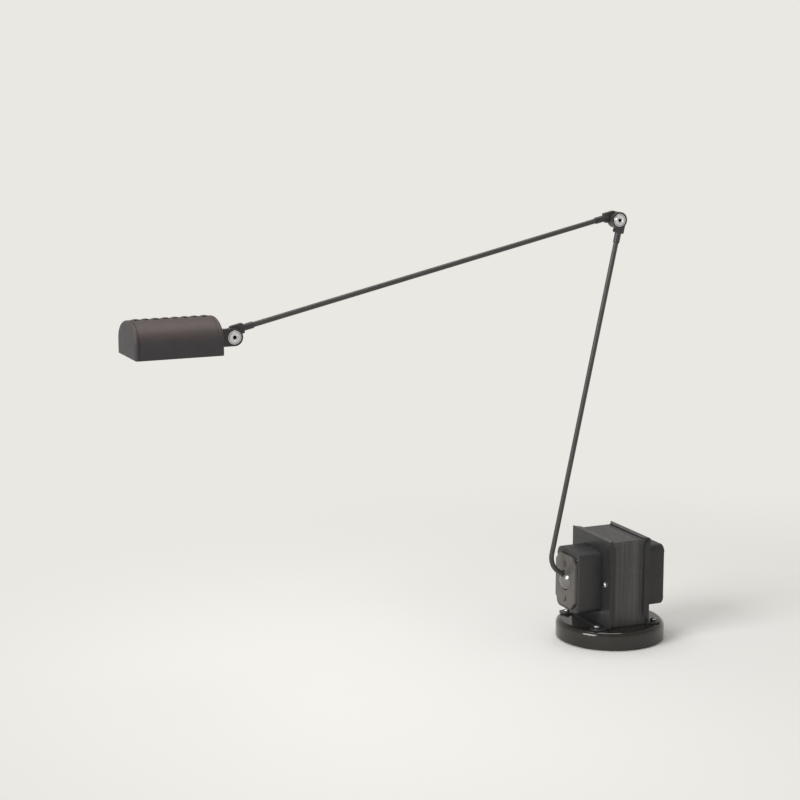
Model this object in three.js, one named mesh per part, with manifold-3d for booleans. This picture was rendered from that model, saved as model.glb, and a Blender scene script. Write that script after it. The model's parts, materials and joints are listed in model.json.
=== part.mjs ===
// Low-voltage architect desk lamp: a laminated transformer on a round cast-iron weight is
// the body of the lamp. A rocker plate on one winding cover is the dimmer switch, and the
// two-link arm grows out of a ball in the middle of it. Millimetres, +Z up, +X from the
// switch cover to the mains cover; the origin is under the centre of the base.

import * as THREE from 'three';
import { mergeVertices } from 'three/addons/utils/BufferGeometryUtils.js';
import Module from 'manifold-3d';

const wasm = await Module();
wasm.setup();

// ---------------------------------------------------------------- driving dimensions (mm)

const gap = 0.3; // clearance between pieces that touch
const cutOver = 1; // how far a cutting tool runs past the face it opens
const grid = 1e-4; // corners snap to this spacing

// facets of round pieces, by how large they are
const facets = { base: 48, ball: 26, hub: 24, shaft: 12, screw: 10, corner: 3, arch: 12 };

// base weight and its pad
const baseRadius = 60;
const baseTop = 20.5;
const baseShoulder = 6.5;
const baseFootClear = 0.8;
const baseFootEdge = 1;
const padRadius = 54;
const padThick = 2;

// transformer core: lamination outline seen along X
const coreHeight = 96;
const coreDepth = 74;
const coreStack = 46;
const coreLeg = 16;
const windowHeight = 16;

// end frames
const frameThick = 1.5;
const frameTab = 5;
const tabFromCorner = 5;
const tabTopTrim = 12;
const footReach = 18.5;
const footLobe = 15;
const footStrip = 9;
const footScrewX = 35.5;
const footScrewY = 34;
const footCornerRadius = 6.5;
const footLobeShift = 1; // how far past its screw a lobe's middle sits
const sillCorner = 2;
const boltInset = 5.5;
const boltRadius = 2;
const boltNutThick = 3.2;
const boltBeyondNut = 1;

// winding covers
const coverReach = 29.4;
const coverOverlapY = 3.6; // past the core's windows, across
const coverOverlapZ = 2.1; // past the core's windows, up and down
const coverRise = 1; // above the middle of the core
const coverWall = 2;
const coverCorner = 7;
const coverScrewInsetY = 3.9;
const coverScrewInsetZ = 7.6;
const postRadius = 2.3;
const postRoot = 0.5;

// bobbin and windings
const bobbinWall = 1.5;
const bobbinHalfLength = 16.5;
const windingBuild = 8;
const bobbinCorner = 1;
const flangeCorner = 2;
const windingCorner = 5;
const flangeOver = 1;

// rocker plate
const rockerRimY = 2.9; // from the cover's side to the rocker's
const rockerRimZ = 4.9; // from the cover's top to the rocker's
const rockerChamfer = 8.5;
const rockerFloor = 2.8;
const rockerSkirt = 1.6;
const rockerDeep = 6.5;
const rockerProud = 3;
const rockerClear = 0.9;
const trunnionRadius = 1.1;
const trunnionInset = 0.2;

// ball and its mounting
const ballRadius = 12.5;
const ballProud = 5;
const ballTailClear = 3.4; // behind the ball, to the bobbin
const ballRunning = 0.4;
const yokeWall = 1.8;
const yokeHalfWidth = 2.2;
const tiltPinRadius = 1;
const housingWall = 1.5;
const housingLipThick = 1.2;
const housingLipClear = 0.2;
const housingFlange = 2;
const housingFlangeThick = 1.5;
const carrierThick = 2;
const carrierBehindBall = 1.5;
const lugHalfHeight = 2.6;
const lugFront = 1.6; // from the trunnions' axis to the front of their lugs
const switchThick = 6;
const switchHalfWidth = 8;
const switchTravel = 1.3;

// cord gland and terminal block
const glandRadius = 5;
const glandBore = 3.2;
const glandBelowCentre = 14;
const glandGrip = 3;
const glandReach = 6;
const glandCollar = 1.5;
const glandTaper = 0.6;
const terminalHalfWidth = 14;
const terminalHalfHeight = 8;
const terminalPitch = 9;
const terminalBore = 2;
const terminalFloor = 3;
const terminalClear = 1.2;

// arms
const tubeRadius = 2.7;
const tubeWall = 0.9;
const stubAngle = 35; // degrees above the ball's axis at which the arm leaves it
const stubLength = 19.4;
const bendRadius = 20;
const lowerLean = 12.15; // degrees from vertical, towards the mains side
const lowerRun = 369;
const lowerOffset = 2.5;
const upperLength = 448.4;
const upperSlope = 12.83; // degrees below horizontal
const upperOffset = 5;
const tubeInset = 5.5; // from the ball's centre to the end of the lower tube
const tubeSeat = 2; // from a fitting's end face to the tube inside it

// joint fittings
const hubRadius = 8.8;
const frontHubThick = 5.8;
const rearHubThick = 5.2;
const blockReach = 13.7;
const blockWall = 2.5;
const blockEndClear = 1;
const hubCorner = 1;
const collarWall = 0.8;
const collarEnd = 24.3;
const discRadius = 7.1;
const discThick = 2.3;
const discProud = 0.4;
const discStep = 0.5;
const discRim = 0.4;
const discRingOuter = 1.6;
const discRingInner = 1.4;
const shankProud = 0.4;
const pivotRadius = 2;
const socketRadius = 1.9;
const socketDepth = 1.4;
const washerThick = 0.5;
const washerInset = 0.8;
const nutAcross = 7;
const nutThick = 2.8;
const nutRecess = 2.4;
const nutSocket = 4.6;
const grubRadius = 1.5;
const grubStation = 11.2;
const lowerGrubProud = 1.2;
const upperGrubProud = -0.6;

// hood
const hoodLength = 90.5;
const hoodWidth = 60;
const hoodWallHeight = 15;
const hoodArchHeight = 20.8;
const hoodShell = 1.6;
const hoodCap = 4.5;
const hoodDrop = 12.9; // how far the hood's rim hangs below the head joint
const hoodFromJoint = 20; // from the head joint to the near cap
const louvreCount = 8;
const louvrePitch = 10;
const louvreLength = 8;
const louvreWidth = 12;
const louvreRise = 1.1;
const louvreShift = 2.5; // from the crown towards the back
const louvreSlot = 5;
const louvreSlotY = [-4.2, -0.6];
const capScrewHeights = [8, 19]; // above the rim
const capScrewRadius = 1.5;
const capScrewHead = 2.8;
const capScrewHeadHeight = 1.6;
const capScrewReach = 6;
const reflectorInset = 4;
const reflectorThick = 0.8;
const reflectorEndClear = 1;
const reflectorFoot = 2;
const bulbRadius = 6;
const bulbLength = 38;
const bulbRise = 3; // above the spring of the arch
const bulbPinch = 6;
const bulbStemHalfWidth = 4.2;
const bulbStemHalfThick = 1.7;
const bulbPinRadius = 0.5;
const bulbPinReach = 11;
const bulbPinSpread = 3.2;
const holderLength = 14;
const holderWidth = 16;
const holderHeight = 12;
const holderFromShell = 2.2;
const holderSocketRadius = 0.9;
const holderSocketDepth = 12;

// ------------------------------------------------------------------- finishes of the parts

/** A standard material with its colour, roughness and metalness. */
function finish(color, roughness, metalness) {
  return () => new THREE.MeshStandardMaterial({ color, roughness, metalness });
}

const blackEnamel = finish(0x17171a, 0.25, 0.2);
const satinBlack = finish(0x2b2b2d, 0.45, 0.3);
const blackPlastic = finish(0x262628, 0.55, 0);
const greyPlastic = finish(0x57534f, 0.45, 0);
const hoodPaint = finish(0x353234, 0.6, 0.1);
const rubber = finish(0x141414, 0.9, 0);
const coreSteel = finish(0x3a3a3c, 0.5, 0.6);
const bareSteel = finish(0xb9babd, 0.3, 1);
const brightAluminium = finish(0xd6d6d8, 0.2, 1);
const copper = finish(0x9a4f2a, 0.35, 1);
const creamPlastic = finish(0xcfc6ae, 0.6, 0);
const ceramic = finish(0xe9e6dd, 0.5, 0);
const clearGlass = finish(0xdfe6e8, 0.05, 0);

// ------------------------------------------------------------------------- solid helpers

/** Turns a closed three.js geometry into a solid that can be joined and cut. */
function solid(geometry) {
  geometry.deleteAttribute('normal');
  geometry.deleteAttribute('uv');
  const places = geometry.attributes.position.array;
  // flush faces of different pieces land on exactly the same plane
  places.forEach((value, i) => { places[i] = Math.round(value / grid) * grid; });
  const merged = mergeVertices(geometry, 1e-4);
  return new wasm.Manifold(new wasm.Mesh({
    numProp: 3,
    vertProperties: Float32Array.from(merged.attributes.position.array),
    triVerts: Uint32Array.from(merged.index.array),
  }));
}

/** Turns a solid back into a geometry. */
function geometryOf(body) {
  const mesh = body.getMesh();
  const geometry = new THREE.BufferGeometry();
  geometry.setAttribute('position', new THREE.BufferAttribute(mesh.vertProperties, 3));
  geometry.setIndex(new THREE.BufferAttribute(mesh.triVerts, 1));
  return geometry;
}

/** Joins several solids. */
function join(first, ...rest) {
  return rest.reduce((whole, part) => whole.add(part), first);
}

/** Cuts several tools out of a solid. */
function cut(body, ...tools) {
  return tools.reduce((whole, tool) => whole.subtract(tool), body);
}

/** A box between two corners. */
function block(low, high) {
  const size = high.map((value, i) => value - low[i]);
  const middle = high.map((value, i) => (value + low[i]) / 2);
  return solid(new THREE.BoxGeometry(...size).translate(...middle));
}

const spin = {
  x: (geometry) => geometry.rotateZ(-Math.PI / 2),
  y: (geometry) => geometry,
  z: (geometry) => geometry.rotateX(Math.PI / 2),
};

/** A round bar along an axis, from one station to another, centred on the other two. */
function bar(axis, from, to, radius, at = [0, 0], sides = facets.hub) {
  const geometry = spin[axis](new THREE.CylinderGeometry(radius, radius, to - from, sides));
  const middle = (from + to) / 2;
  const place = { x: [middle, ...at], y: [at[0], middle, at[1]], z: [...at, middle] }[axis];
  return solid(geometry.translate(...place));
}

const slabBasis = {
  x: [new THREE.Vector3(0, 1, 0), new THREE.Vector3(0, 0, 1), new THREE.Vector3(1, 0, 0)],
  y: [new THREE.Vector3(1, 0, 0), new THREE.Vector3(0, 0, 1), new THREE.Vector3(0, -1, 0)],
  z: [new THREE.Vector3(1, 0, 0), new THREE.Vector3(0, 1, 0), new THREE.Vector3(0, 0, 1)],
};

/** Extrudes an outline along an axis. The outline's two directions are the other axes. */
function slab(axis, shape, from, to, curveSegments = facets.corner) {
  const options = { depth: to - from, bevelEnabled: false, curveSegments };
  const geometry = new THREE.ExtrudeGeometry(shape, options);
  geometry.applyMatrix4(new THREE.Matrix4().makeBasis(...slabBasis[axis]));
  const start = axis === 'y' ? to : from;
  const move = { x: [start, 0, 0], y: [0, start, 0], z: [0, 0, start] }[axis];
  return solid(geometry.translate(...move));
}

/** An outline through a list of points. */
function outline(points) {
  return new THREE.Shape(points.map(([a, b]) => new THREE.Vector2(a, b)));
}

/** A rectangle with round corners, given by its middle and its two sizes. */
function roundedRectangle(middleA, middleB, sizeA, sizeB, radius) {
  const a = middleA - sizeA / 2;
  const b = middleB - sizeB / 2;
  const shape = new THREE.Shape();
  shape.moveTo(a + radius, b);
  shape.lineTo(a + sizeA - radius, b);
  shape.absarc(a + sizeA - radius, b + radius, radius, -Math.PI / 2, 0);
  shape.absarc(a + sizeA - radius, b + sizeB - radius, radius, 0, Math.PI / 2);
  shape.absarc(a + radius, b + sizeB - radius, radius, Math.PI / 2, Math.PI);
  shape.absarc(a + radius, b + radius, radius, Math.PI, Math.PI * 1.5);
  return shape;
}

/** A rectangle with its four corners cut at 45 degrees. */
function chamferedRectangle(middleA, middleB, sizeA, sizeB, chamfer) {
  const a = sizeA / 2;
  const b = sizeB / 2;
  const corner = [
    [a - chamfer, -b], [a, -b + chamfer], [a, b - chamfer], [a - chamfer, b],
    [-a + chamfer, b], [-a, b - chamfer], [-a, -b + chamfer], [-a + chamfer, -b],
  ];
  return outline(corner.map(([p, q]) => [middleA + p, middleB + q]));
}

/** A solid of revolution about an axis, from (radius, station) points. */
function turned(axis, profile, sides = facets.hub) {
  const points = profile.map(([radius, station]) => new THREE.Vector2(radius, station));
  return solid(spin[axis](new THREE.LatheGeometry(points, sides)));
}

/** A pan-head screw along +Z: its head sits above z = 0 and its shank goes below. */
function panScrew(headRadius, headHeight, shankRadius, length) {
  return turned('z', [
    [0, -length], [shankRadius, -length], [shankRadius, 0], [headRadius, 0],
    [headRadius, headHeight * 0.5], [headRadius * 0.7, headHeight], [0, headHeight],
  ], facets.screw);
}

/** A hexagonal nut along an axis, from one station to another, with a plain bore. */
function hexNut(axis, from, to, across, boreRadius, at) {
  const body = bar(axis, from, to, across / 2 / Math.cos(Math.PI / 6), at, 6);
  return cut(body, bar(axis, from - cutOver, to + cutOver, boreRadius, at, facets.shaft));
}

/** Degrees as radians. */
function rad(degrees) {
  return THREE.MathUtils.degToRad(degrees);
}

const lamp = new THREE.Group();

/** Adds one named piece to a group. */
function piece(name, body, material, parent = lamp) {
  const mesh = new THREE.Mesh(geometryOf(body), material());
  mesh.name = name;
  parent.add(mesh);
  return mesh;
}

// ----------------------------------------------------------------------------- base weight

const footScrewPlaces = [];
for (const [end, x] of [['switch_side', -footScrewX], ['mains_side', footScrewX]]) {
  for (const [face, y] of [['front', -footScrewY], ['back', footScrewY]]) {
    footScrewPlaces.push({ name: `foot_screw_${end}_${face}`, x, y });
  }
}

const footScrewRadius = 2;
const footScrewLength = 11;
const footHeadRadius = 3.3;
const footHeadHeight = 2.6;

/** The turned iron weight: straight side, round shoulder, a recess for the pad below. */
function baseWeight() {
  const profile = [
    [0, baseFootClear], [baseRadius - baseFootEdge, baseFootClear],
    [baseRadius, baseFootClear + baseFootEdge],
  ];
  const arcSteps = 4;
  for (let i = 0; i <= arcSteps; i += 1) {
    const angle = (i / arcSteps) * Math.PI / 2;
    profile.push([
      baseRadius - baseShoulder * (1 - Math.cos(angle)),
      baseTop - baseShoulder * (1 - Math.sin(angle)),
    ]);
  }
  profile.push([0, baseTop]);
  const recess = bar('z', baseFootClear - cutOver, padThick + gap, padRadius + gap, [0, 0], facets.base);
  const holeFloor = baseTop + frameThick - footScrewLength;
  const holes = footScrewPlaces.map(({ x, y }) => (
    bar('z', holeFloor, baseTop + cutOver, footScrewRadius + gap, [x, y], facets.screw)));
  return cut(turned('z', profile, facets.base), recess, ...holes);
}

piece('base_weight', baseWeight(), blackEnamel);
piece('base_pad', bar('z', 0, padThick, padRadius, [0, 0], facets.base), rubber);

// ----------------------------------------------------------------------------- transformer

const coreBottom = baseTop + gap;
const coreTop = coreBottom + coreHeight;
const coreMiddleZ = (coreBottom + coreTop) / 2;
const coreEndX = coreStack / 2;
const coreFaceY = coreDepth / 2;
const windowHalfY = coreFaceY - coreLeg;
const centreLegHalf = coreLeg;
const boltY = coreFaceY - boltInset;
const windowTop = centreLegHalf + windowHeight;
const coverDepth = (windowHalfY + coverOverlapY) * 2;
const coverHeight = (windowTop + coverOverlapZ) * 2;
const coverCentreZ = coreMiddleZ + coverRise;
const coverScrewY = coverDepth / 2 - coverScrewInsetY;
const coverScrewZ = coverHeight / 2 - coverScrewInsetZ;

// stations along X, from the core outwards
const frameInnerX = coreEndX + gap;
const frameOuterX = frameInnerX + frameThick;
const coverSeatX = frameOuterX + gap;
const coverEndX = coverSeatX + coverReach;
const coverInnerEndX = coverEndX - coverWall;
const rockerFaceX = -coverEndX - rockerProud;
const rockerFloorX = rockerFaceX + rockerFloor;
const rockerBackX = rockerFaceX + rockerDeep;
const ballX = rockerFaceX - ballProud + ballRadius;
const ballZ = coverCentreZ;
const bobbinEndX = -ballX - ballRadius - ballTailClear;

/** The stack of laminations, with the two windows that the windings pass through. */
function transformerCore() {
  const body = block([-coreEndX, -coreFaceY, coreBottom], [coreEndX, coreFaceY, coreTop]);
  const windows = [-1, 1].map((side) => {
    const near = coreMiddleZ + side * centreLegHalf;
    const far = near + side * windowHeight;
    return block(
      [-coreEndX - cutOver, -windowHalfY, Math.min(near, far)],
      [coreEndX + cutOver, windowHalfY, Math.max(near, far)],
    );
  });
  const bores = [-boltY, boltY].map((y) => (
    bar('x', -coreEndX - cutOver, coreEndX + cutOver, boltRadius + gap, [y, coreMiddleZ], facets.shaft)));
  return cut(body, ...windows, ...bores);
}

piece('transformer_core', transformerCore(), coreSteel);

const bobbinInnerX = coreEndX + gap;
const bobbinInnerZ = centreLegHalf + gap;
const bobbinOuterX = bobbinInnerX + bobbinWall;
const bobbinOuterZ = bobbinInnerZ + bobbinWall;
const windingInnerX = bobbinOuterX + gap;
const windingInnerZ = bobbinOuterZ + gap;
const windingOuterX = bobbinEndX - flangeOver; // the windings fill the room behind the ball
const windingOuterZ = windingInnerZ + windingBuild;

/** A rectangular ring about the centre leg, along Y. */
function legRing(innerX, innerZ, outerX, outerZ, fromY, toY, corner) {
  const ring = slab('y', roundedRectangle(0, coreMiddleZ, outerX * 2, outerZ * 2, corner), fromY, toY);
  const bore = block(
    [-innerX, fromY - cutOver, coreMiddleZ - innerZ],
    [innerX, toY + cutOver, coreMiddleZ + innerZ],
  );
  return cut(ring, bore);
}

/** The bobbin: a square tube with a flange at each end and one between the windings. */
function bobbin() {
  const tube = legRing(bobbinInnerX, bobbinInnerZ, bobbinOuterX, bobbinOuterZ,
    -bobbinHalfLength, bobbinHalfLength, bobbinCorner);
  const stations = [
    [-bobbinHalfLength, -bobbinHalfLength + bobbinWall],
    [-bobbinWall / 2, bobbinWall / 2],
    [bobbinHalfLength - bobbinWall, bobbinHalfLength],
  ];
  const flanges = stations.map(([from, to]) => legRing(bobbinInnerX, bobbinInnerZ,
    bobbinEndX, windingOuterZ + flangeOver, from, to, flangeCorner));
  return join(tube, ...flanges);
}

piece('bobbin', bobbin(), creamPlastic);
const chamberNear = bobbinWall / 2 + gap;
const chamberFar = bobbinHalfLength - bobbinWall - gap;
piece('primary_winding', legRing(windingInnerX, windingInnerZ, windingOuterX, windingOuterZ,
  chamberNear, chamberFar, windingCorner), copper);
piece('secondary_winding', legRing(windingInnerX, windingInnerZ, windingOuterX, windingOuterZ,
  -chamberFar, -chamberNear, windingCorner), copper);

// ------------------------------------------------------------------------------ end frames

const frameFaceY = coreFaceY + gap + frameThick;
const frameTop = coreTop + gap + frameThick;
const frameHoleY = Math.min(bobbinHalfLength + gap, coverScrewY - postRadius);
const frameHoleZ = windingOuterZ + flangeOver + gap;
const tabInnerX = frameInnerX - frameTab;

/** An end frame on the -X or +X side: plate, three folded tabs and an outward foot. */
function endFrame(side) {
  const across = (a, b) => [Math.min(side * a, side * b), Math.max(side * a, side * b)];
  const [plateLow, plateHigh] = across(frameInnerX, frameOuterX);
  const plate = block([plateLow, -frameFaceY, coreBottom], [plateHigh, frameFaceY, frameTop]);
  const [tabLow, tabHigh] = across(tabInnerX, frameOuterX);

  // each tab is a strip with 45 degree ends, folded over the edge of the core
  const strip = (half) => [
    [side * frameOuterX, -half], [side * frameInnerX, -half],
    [side * tabInnerX, -half + frameTab], [side * tabInnerX, half - frameTab],
    [side * frameInnerX, half], [side * frameOuterX, half],
  ];
  const facing = (points) => (side > 0 ? points : points.slice().reverse());
  const topTab = slab('z', outline(facing(strip(frameFaceY - tabFromCorner / 2))),
    coreTop + gap, frameTop);
  const faceHalf = (frameTop - coreBottom - tabFromCorner / 2 - tabTopTrim / 2) / 2;
  const faceMiddle = coreBottom + tabTopTrim / 2 + faceHalf;
  const faceStrip = outline(facing(strip(faceHalf).map(([x, z]) => [x, z + faceMiddle])));
  const frontTab = slab('y', faceStrip, -frameFaceY, -frameFaceY + frameThick);
  const backTab = slab('y', faceStrip, frameFaceY - frameThick, frameFaceY);

  // the foot is a strip along the plate with a round-cornered lobe at each end
  const footTop = coreBottom + frameThick;
  const footShape = (from, to, y, depth, radius) => {
    const [low, high] = across(from, to);
    return slab('z', roundedRectangle((low + high) / 2, y, high - low, depth, radius),
      coreBottom, footTop);
  };
  const lobeY = footScrewY + footLobeShift;
  const lobes = [-lobeY, lobeY].map((y) => (
    footShape(frameInnerX, frameOuterX + footReach, y, footLobe, footCornerRadius)));
  const sill = footShape(frameInnerX, frameOuterX + footStrip, 0, frameFaceY * 2 - footLobe / 2, sillCorner);

  const opening = block([tabLow - cutOver, -frameHoleY, coreMiddleZ - frameHoleZ],
    [tabHigh + cutOver, frameHoleY, coreMiddleZ + frameHoleZ]);
  const bolts = [-boltY, boltY].map((y) => (
    bar('x', plateLow - cutOver, plateHigh + cutOver, boltRadius + gap, [y, coreMiddleZ], facets.shaft)));
  const coverHoles = coverScrewPlaces().map(({ y, z }) => (
    bar('x', plateLow - cutOver, plateHigh + cutOver, coverScrewRadius + gap, [y, z], facets.screw)));
  const footHoles = [-footScrewY, footScrewY].map((y) => (
    bar('z', coreBottom - cutOver, footTop + cutOver, footScrewRadius + gap,
      [side * footScrewX, y], facets.screw)));
  return cut(join(plate, topTab, frontTab, backTab, sill, ...lobes),
    opening, ...bolts, ...coverHoles, ...footHoles);
}

/** The four cover screws of an end, by their place on the cover's end face. */
function coverScrewPlaces() {
  const places = [];
  for (const [level, z] of [['low', coverCentreZ - coverScrewZ], ['high', coverCentreZ + coverScrewZ]]) {
    for (const [face, y] of [['front', -coverScrewY], ['back', coverScrewY]]) {
      places.push({ corner: `${level}_${face}`, y, z });
    }
  }
  return places;
}

const coverScrewRadius = 1.2;
const coverScrewHead = 2.1;
const coverScrewHeadHeight = 1.4;

piece('end_frame_switch_side', endFrame(-1), satinBlack);
piece('end_frame_mains_side', endFrame(1), satinBlack);

for (const { name, x, y } of footScrewPlaces) {
  const screw = panScrew(footHeadRadius, footHeadHeight, footScrewRadius, footScrewLength);
  piece(name, screw, bareSteel).position.set(x, y, coreBottom + frameThick + gap);
}

// two clamping bolts run through the stack along X, with a nut on the mains side
const boltHeadRadius = 3.6;
const boltHeadHeight = 2.4;
const boltEnd = frameOuterX + gap + boltNutThick + boltBeyondNut;
for (const [face, y] of [['front', -boltY], ['back', boltY]]) {
  const head = -frameOuterX - gap;
  const bolt = turned('x', [
    [0, head - boltHeadHeight], [boltHeadRadius * 0.7, head - boltHeadHeight],
    [boltHeadRadius, head - boltHeadHeight * 0.5], [boltHeadRadius, head],
    [boltRadius, head], [boltRadius, boltEnd], [0, boltEnd],
  ], facets.shaft);
  piece(`core_bolt_${face}`, bolt, bareSteel).position.set(0, y, coreMiddleZ);
  const nutFrom = frameOuterX + gap;
  piece(`core_bolt_nut_${face}`,
    hexNut('x', nutFrom, nutFrom + boltNutThick, nutAcross, boltRadius + gap, [0, 0]),
    bareSteel).position.set(0, y, coreMiddleZ);
}

// ---------------------------------------------------------------------------------- covers

const screwSeatDepth = 1;

/** A winding cover: a box open towards the core, with four screw posts inside. */
function windingCover(side) {
  const across = (a, b) => [Math.min(side * a, side * b), Math.max(side * a, side * b)];
  const outer = slab('x', roundedRectangle(0, coverCentreZ, coverDepth, coverHeight, coverCorner),
    ...across(coverSeatX, coverEndX));
  const inner = roundedRectangle(0, coverCentreZ, coverDepth - coverWall * 2,
    coverHeight - coverWall * 2, coverCorner - coverWall);
  const hollow = slab('x', inner, ...across(coverSeatX - cutOver, coverInnerEndX));
  let body = cut(outer, hollow);
  for (const { y, z } of coverScrewPlaces()) {
    const post = bar('x', ...across(coverSeatX, coverInnerEndX + postRoot), postRadius,
      [y, z], facets.screw);
    body = body.add(post);
  }
  for (const { y, z } of coverScrewPlaces()) {
    const shank = bar('x', ...across(coverSeatX - cutOver, coverEndX + cutOver),
      coverScrewRadius + gap, [y, z], facets.screw);
    const seat = bar('x', ...across(coverEndX - screwSeatDepth, coverEndX + cutOver),
      coverScrewHead + gap, [y, z], facets.screw);
    body = cut(body, shank, seat);
  }
  return body;
}

const rockerWidth = coverDepth - rockerRimY * 2;
const rockerHeight = coverHeight - rockerRimZ * 2;

/** The window in the switch cover that the rocker plate stands in. */
function rockerWindow() {
  const shape = chamferedRectangle(0, coverCentreZ, rockerWidth + rockerClear * 2,
    rockerHeight + rockerClear * 2, rockerChamfer + rockerClear);
  return slab('x', shape, -coverEndX - cutOver, -coverInnerEndX + cutOver);
}

piece('switch_cover', cut(windingCover(-1), rockerWindow()), blackPlastic);

const glandX = coverSeatX + coverReach / 2;
const glandZ = coverCentreZ - glandBelowCentre;

/** The cover on the mains side, with the hole that the cord gland sits in. */
function mainsCover() {
  const hole = bar('y', coverDepth / 2 - coverWall - cutOver, coverDepth / 2 + cutOver,
    glandRadius + gap, [glandX, glandZ], facets.shaft);
  return cut(windingCover(1), hole);
}

piece('mains_cover', mainsCover(), blackPlastic);

const glandInner = coverDepth / 2 - coverWall - glandGrip;
const glandOuter = coverDepth / 2 + glandReach;
const glandSeat = coverDepth / 2 + gap;
const gland = turned('y', [
  [glandBore, glandInner], [glandRadius, glandInner], [glandRadius, glandSeat],
  [glandRadius + glandCollar, glandSeat], [glandRadius + glandCollar, glandSeat + glandCollar],
  [glandRadius - glandTaper, glandOuter], [glandBore, glandOuter], [glandBore, glandInner],
], facets.shaft);
piece('cord_gland', gland, rubber).position.set(glandX, 0, glandZ);

for (const [end, side] of [['switch_cover', -1], ['mains_cover', 1]]) {
  for (const { corner, y, z } of coverScrewPlaces()) {
    const length = coverReach - screwSeatDepth + frameThick + gap;
    const screw = panScrew(coverScrewHead, coverScrewHeadHeight, coverScrewRadius, length);
    const mesh = piece(`${end}_screw_${corner}`, screw, bareSteel);
    mesh.rotation.y = side * Math.PI / 2;
    mesh.position.set(side * (coverEndX - screwSeatDepth + gap), y, z);
  }
}

// terminal block for the mains lead and the primary winding
const terminalFrom = bobbinEndX + gap;
const terminalTo = coverInnerEndX - terminalClear;
const terminal = cut(
  block([terminalFrom, -terminalHalfWidth, coverCentreZ - terminalHalfHeight],
    [terminalTo, terminalHalfWidth, coverCentreZ + terminalHalfHeight]),
  ...[-terminalPitch, 0, terminalPitch].map((y) => (
    bar('x', terminalFrom + terminalFloor, terminalTo + cutOver, terminalBore,
      [y, coverCentreZ], facets.screw))),
);
piece('terminal_block', terminal, creamPlastic);

// -------------------------------------------------------------------- rocker switch and ball

const yokeInner = ballRadius + ballRunning;
const yokeOuter = yokeInner + yokeWall;
const housingInner = yokeOuter + gap;
const housingOuter = housingInner + housingWall;
const lipFront = yokeHalfWidth + gap + housingLipThick;
const carrierFrontX = ballX + carrierBehindBall;
const pivotX = rockerBackX - trunnionRadius - trunnionInset;
const lugOuterY = rockerWidth / 2 - rockerSkirt - gap;
const lugInnerY = housingOuter + gap;

/** The rocker: a tray with cut corners, pierced by the ball, with two moulded trunnions. */
function rockerPlate() {
  const shape = chamferedRectangle(0, coverCentreZ, rockerWidth, rockerHeight, rockerChamfer);
  const within = chamferedRectangle(0, coverCentreZ, rockerWidth - rockerSkirt * 2,
    rockerHeight - rockerSkirt * 2, rockerChamfer - rockerSkirt * Math.tan(Math.PI / 8));
  const tray = cut(slab('x', shape, rockerFaceX, rockerBackX),
    slab('x', within, rockerFloorX, rockerBackX + cutOver));
  const trunnions = [-1, 1].map((side) => {
    const reach = [side * lugInnerY, side * (rockerWidth / 2 - rockerSkirt / 2)];
    return bar('y', Math.min(...reach), Math.max(...reach), trunnionRadius,
      [pivotX, coverCentreZ], facets.shaft);
  });
  const ballClear = solid(
    new THREE.SphereGeometry(ballRadius + rockerClear, facets.ball, facets.ball / 2)
      .translate(ballX, 0, ballZ),
  );
  return cut(join(tray, ...trunnions), ballClear);
}

piece('rocker_plate', rockerPlate(), greyPlastic);

/** The carrier in the switch cover: a plate with two lugs for the rocker, clear of the posts. */
function switchCarrier() {
  const carrierBackX = carrierFrontX + carrierThick;
  const shape = roundedRectangle(0, coverCentreZ, coverDepth - (coverWall + gap) * 2,
    coverHeight - (coverWall + gap) * 2, coverCorner - coverWall - gap);
  const plate = slab('x', shape, carrierFrontX, carrierBackX);
  const hole = bar('x', carrierFrontX - cutOver, carrierBackX + cutOver, lugInnerY, [0, ballZ]);
  const posts = coverScrewPlaces().map(({ y, z }) => (
    bar('x', carrierFrontX - cutOver, carrierBackX + cutOver, postRadius + gap, [y, z], facets.screw)));
  const lugs = [-1, 1].map((side) => {
    const reach = [side * lugOuterY, side * lugInnerY];
    return block([pivotX - lugFront, Math.min(...reach), coverCentreZ - lugHalfHeight],
      [carrierBackX, Math.max(...reach), coverCentreZ + lugHalfHeight]);
  });
  const pivots = bar('y', -coverDepth / 2, coverDepth / 2, trunnionRadius + gap,
    [pivotX, coverCentreZ], facets.shaft);
  return cut(join(cut(plate, hole, ...posts), ...lugs), pivots);
}

piece('switch_carrier', switchCarrier(), creamPlastic);

// the housing that holds the yoke: a short cup with a front lip and a rear flange
const flangeFrom = carrierBehindBall + carrierThick + gap;
const housingRear = flangeFrom + housingFlangeThick;
const lipRadius = ballRadius + housingLipClear;
const housing = turned('x', [
  [lipRadius, -lipFront], [housingOuter, -lipFront], [housingOuter, flangeFrom],
  [housingOuter + housingFlange, flangeFrom], [housingOuter + housingFlange, housingRear],
  [housingInner, housingRear],
  [housingInner, -lipFront + housingLipThick], [lipRadius, -lipFront + housingLipThick],
  [lipRadius, -lipFront],
]);
piece('ball_housing', housing, satinBlack).position.set(ballX, 0, ballZ);

// a switch under each end of the rocker, midway between the housing and the rocker's skirt
const switchBackX = carrierFrontX - gap;
const switchFrontX = rockerFloorX + switchTravel;
const switchStation = (housingOuter + rockerHeight / 2 - rockerSkirt) / 2;
for (const [name, side] of [['full_light_switch', 1], ['low_light_switch', -1]]) {
  const z = coverCentreZ + side * switchStation;
  piece(name, block([switchFrontX, -switchHalfWidth, z - switchThick / 2],
    [switchBackX, switchHalfWidth, z + switchThick / 2]), blackPlastic);
}

/** The ring round the ball: it swivels in the housing and carries the tilt pin. */
function swivelYoke() {
  const ring = cut(bar('x', -yokeHalfWidth, yokeHalfWidth, yokeOuter),
    bar('x', -yokeHalfWidth - cutOver, yokeHalfWidth + cutOver, yokeInner));
  return cut(ring, bar('y', -yokeOuter - cutOver, yokeOuter + cutOver, tiltPinRadius + gap,
    [0, 0], facets.shaft));
}

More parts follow.
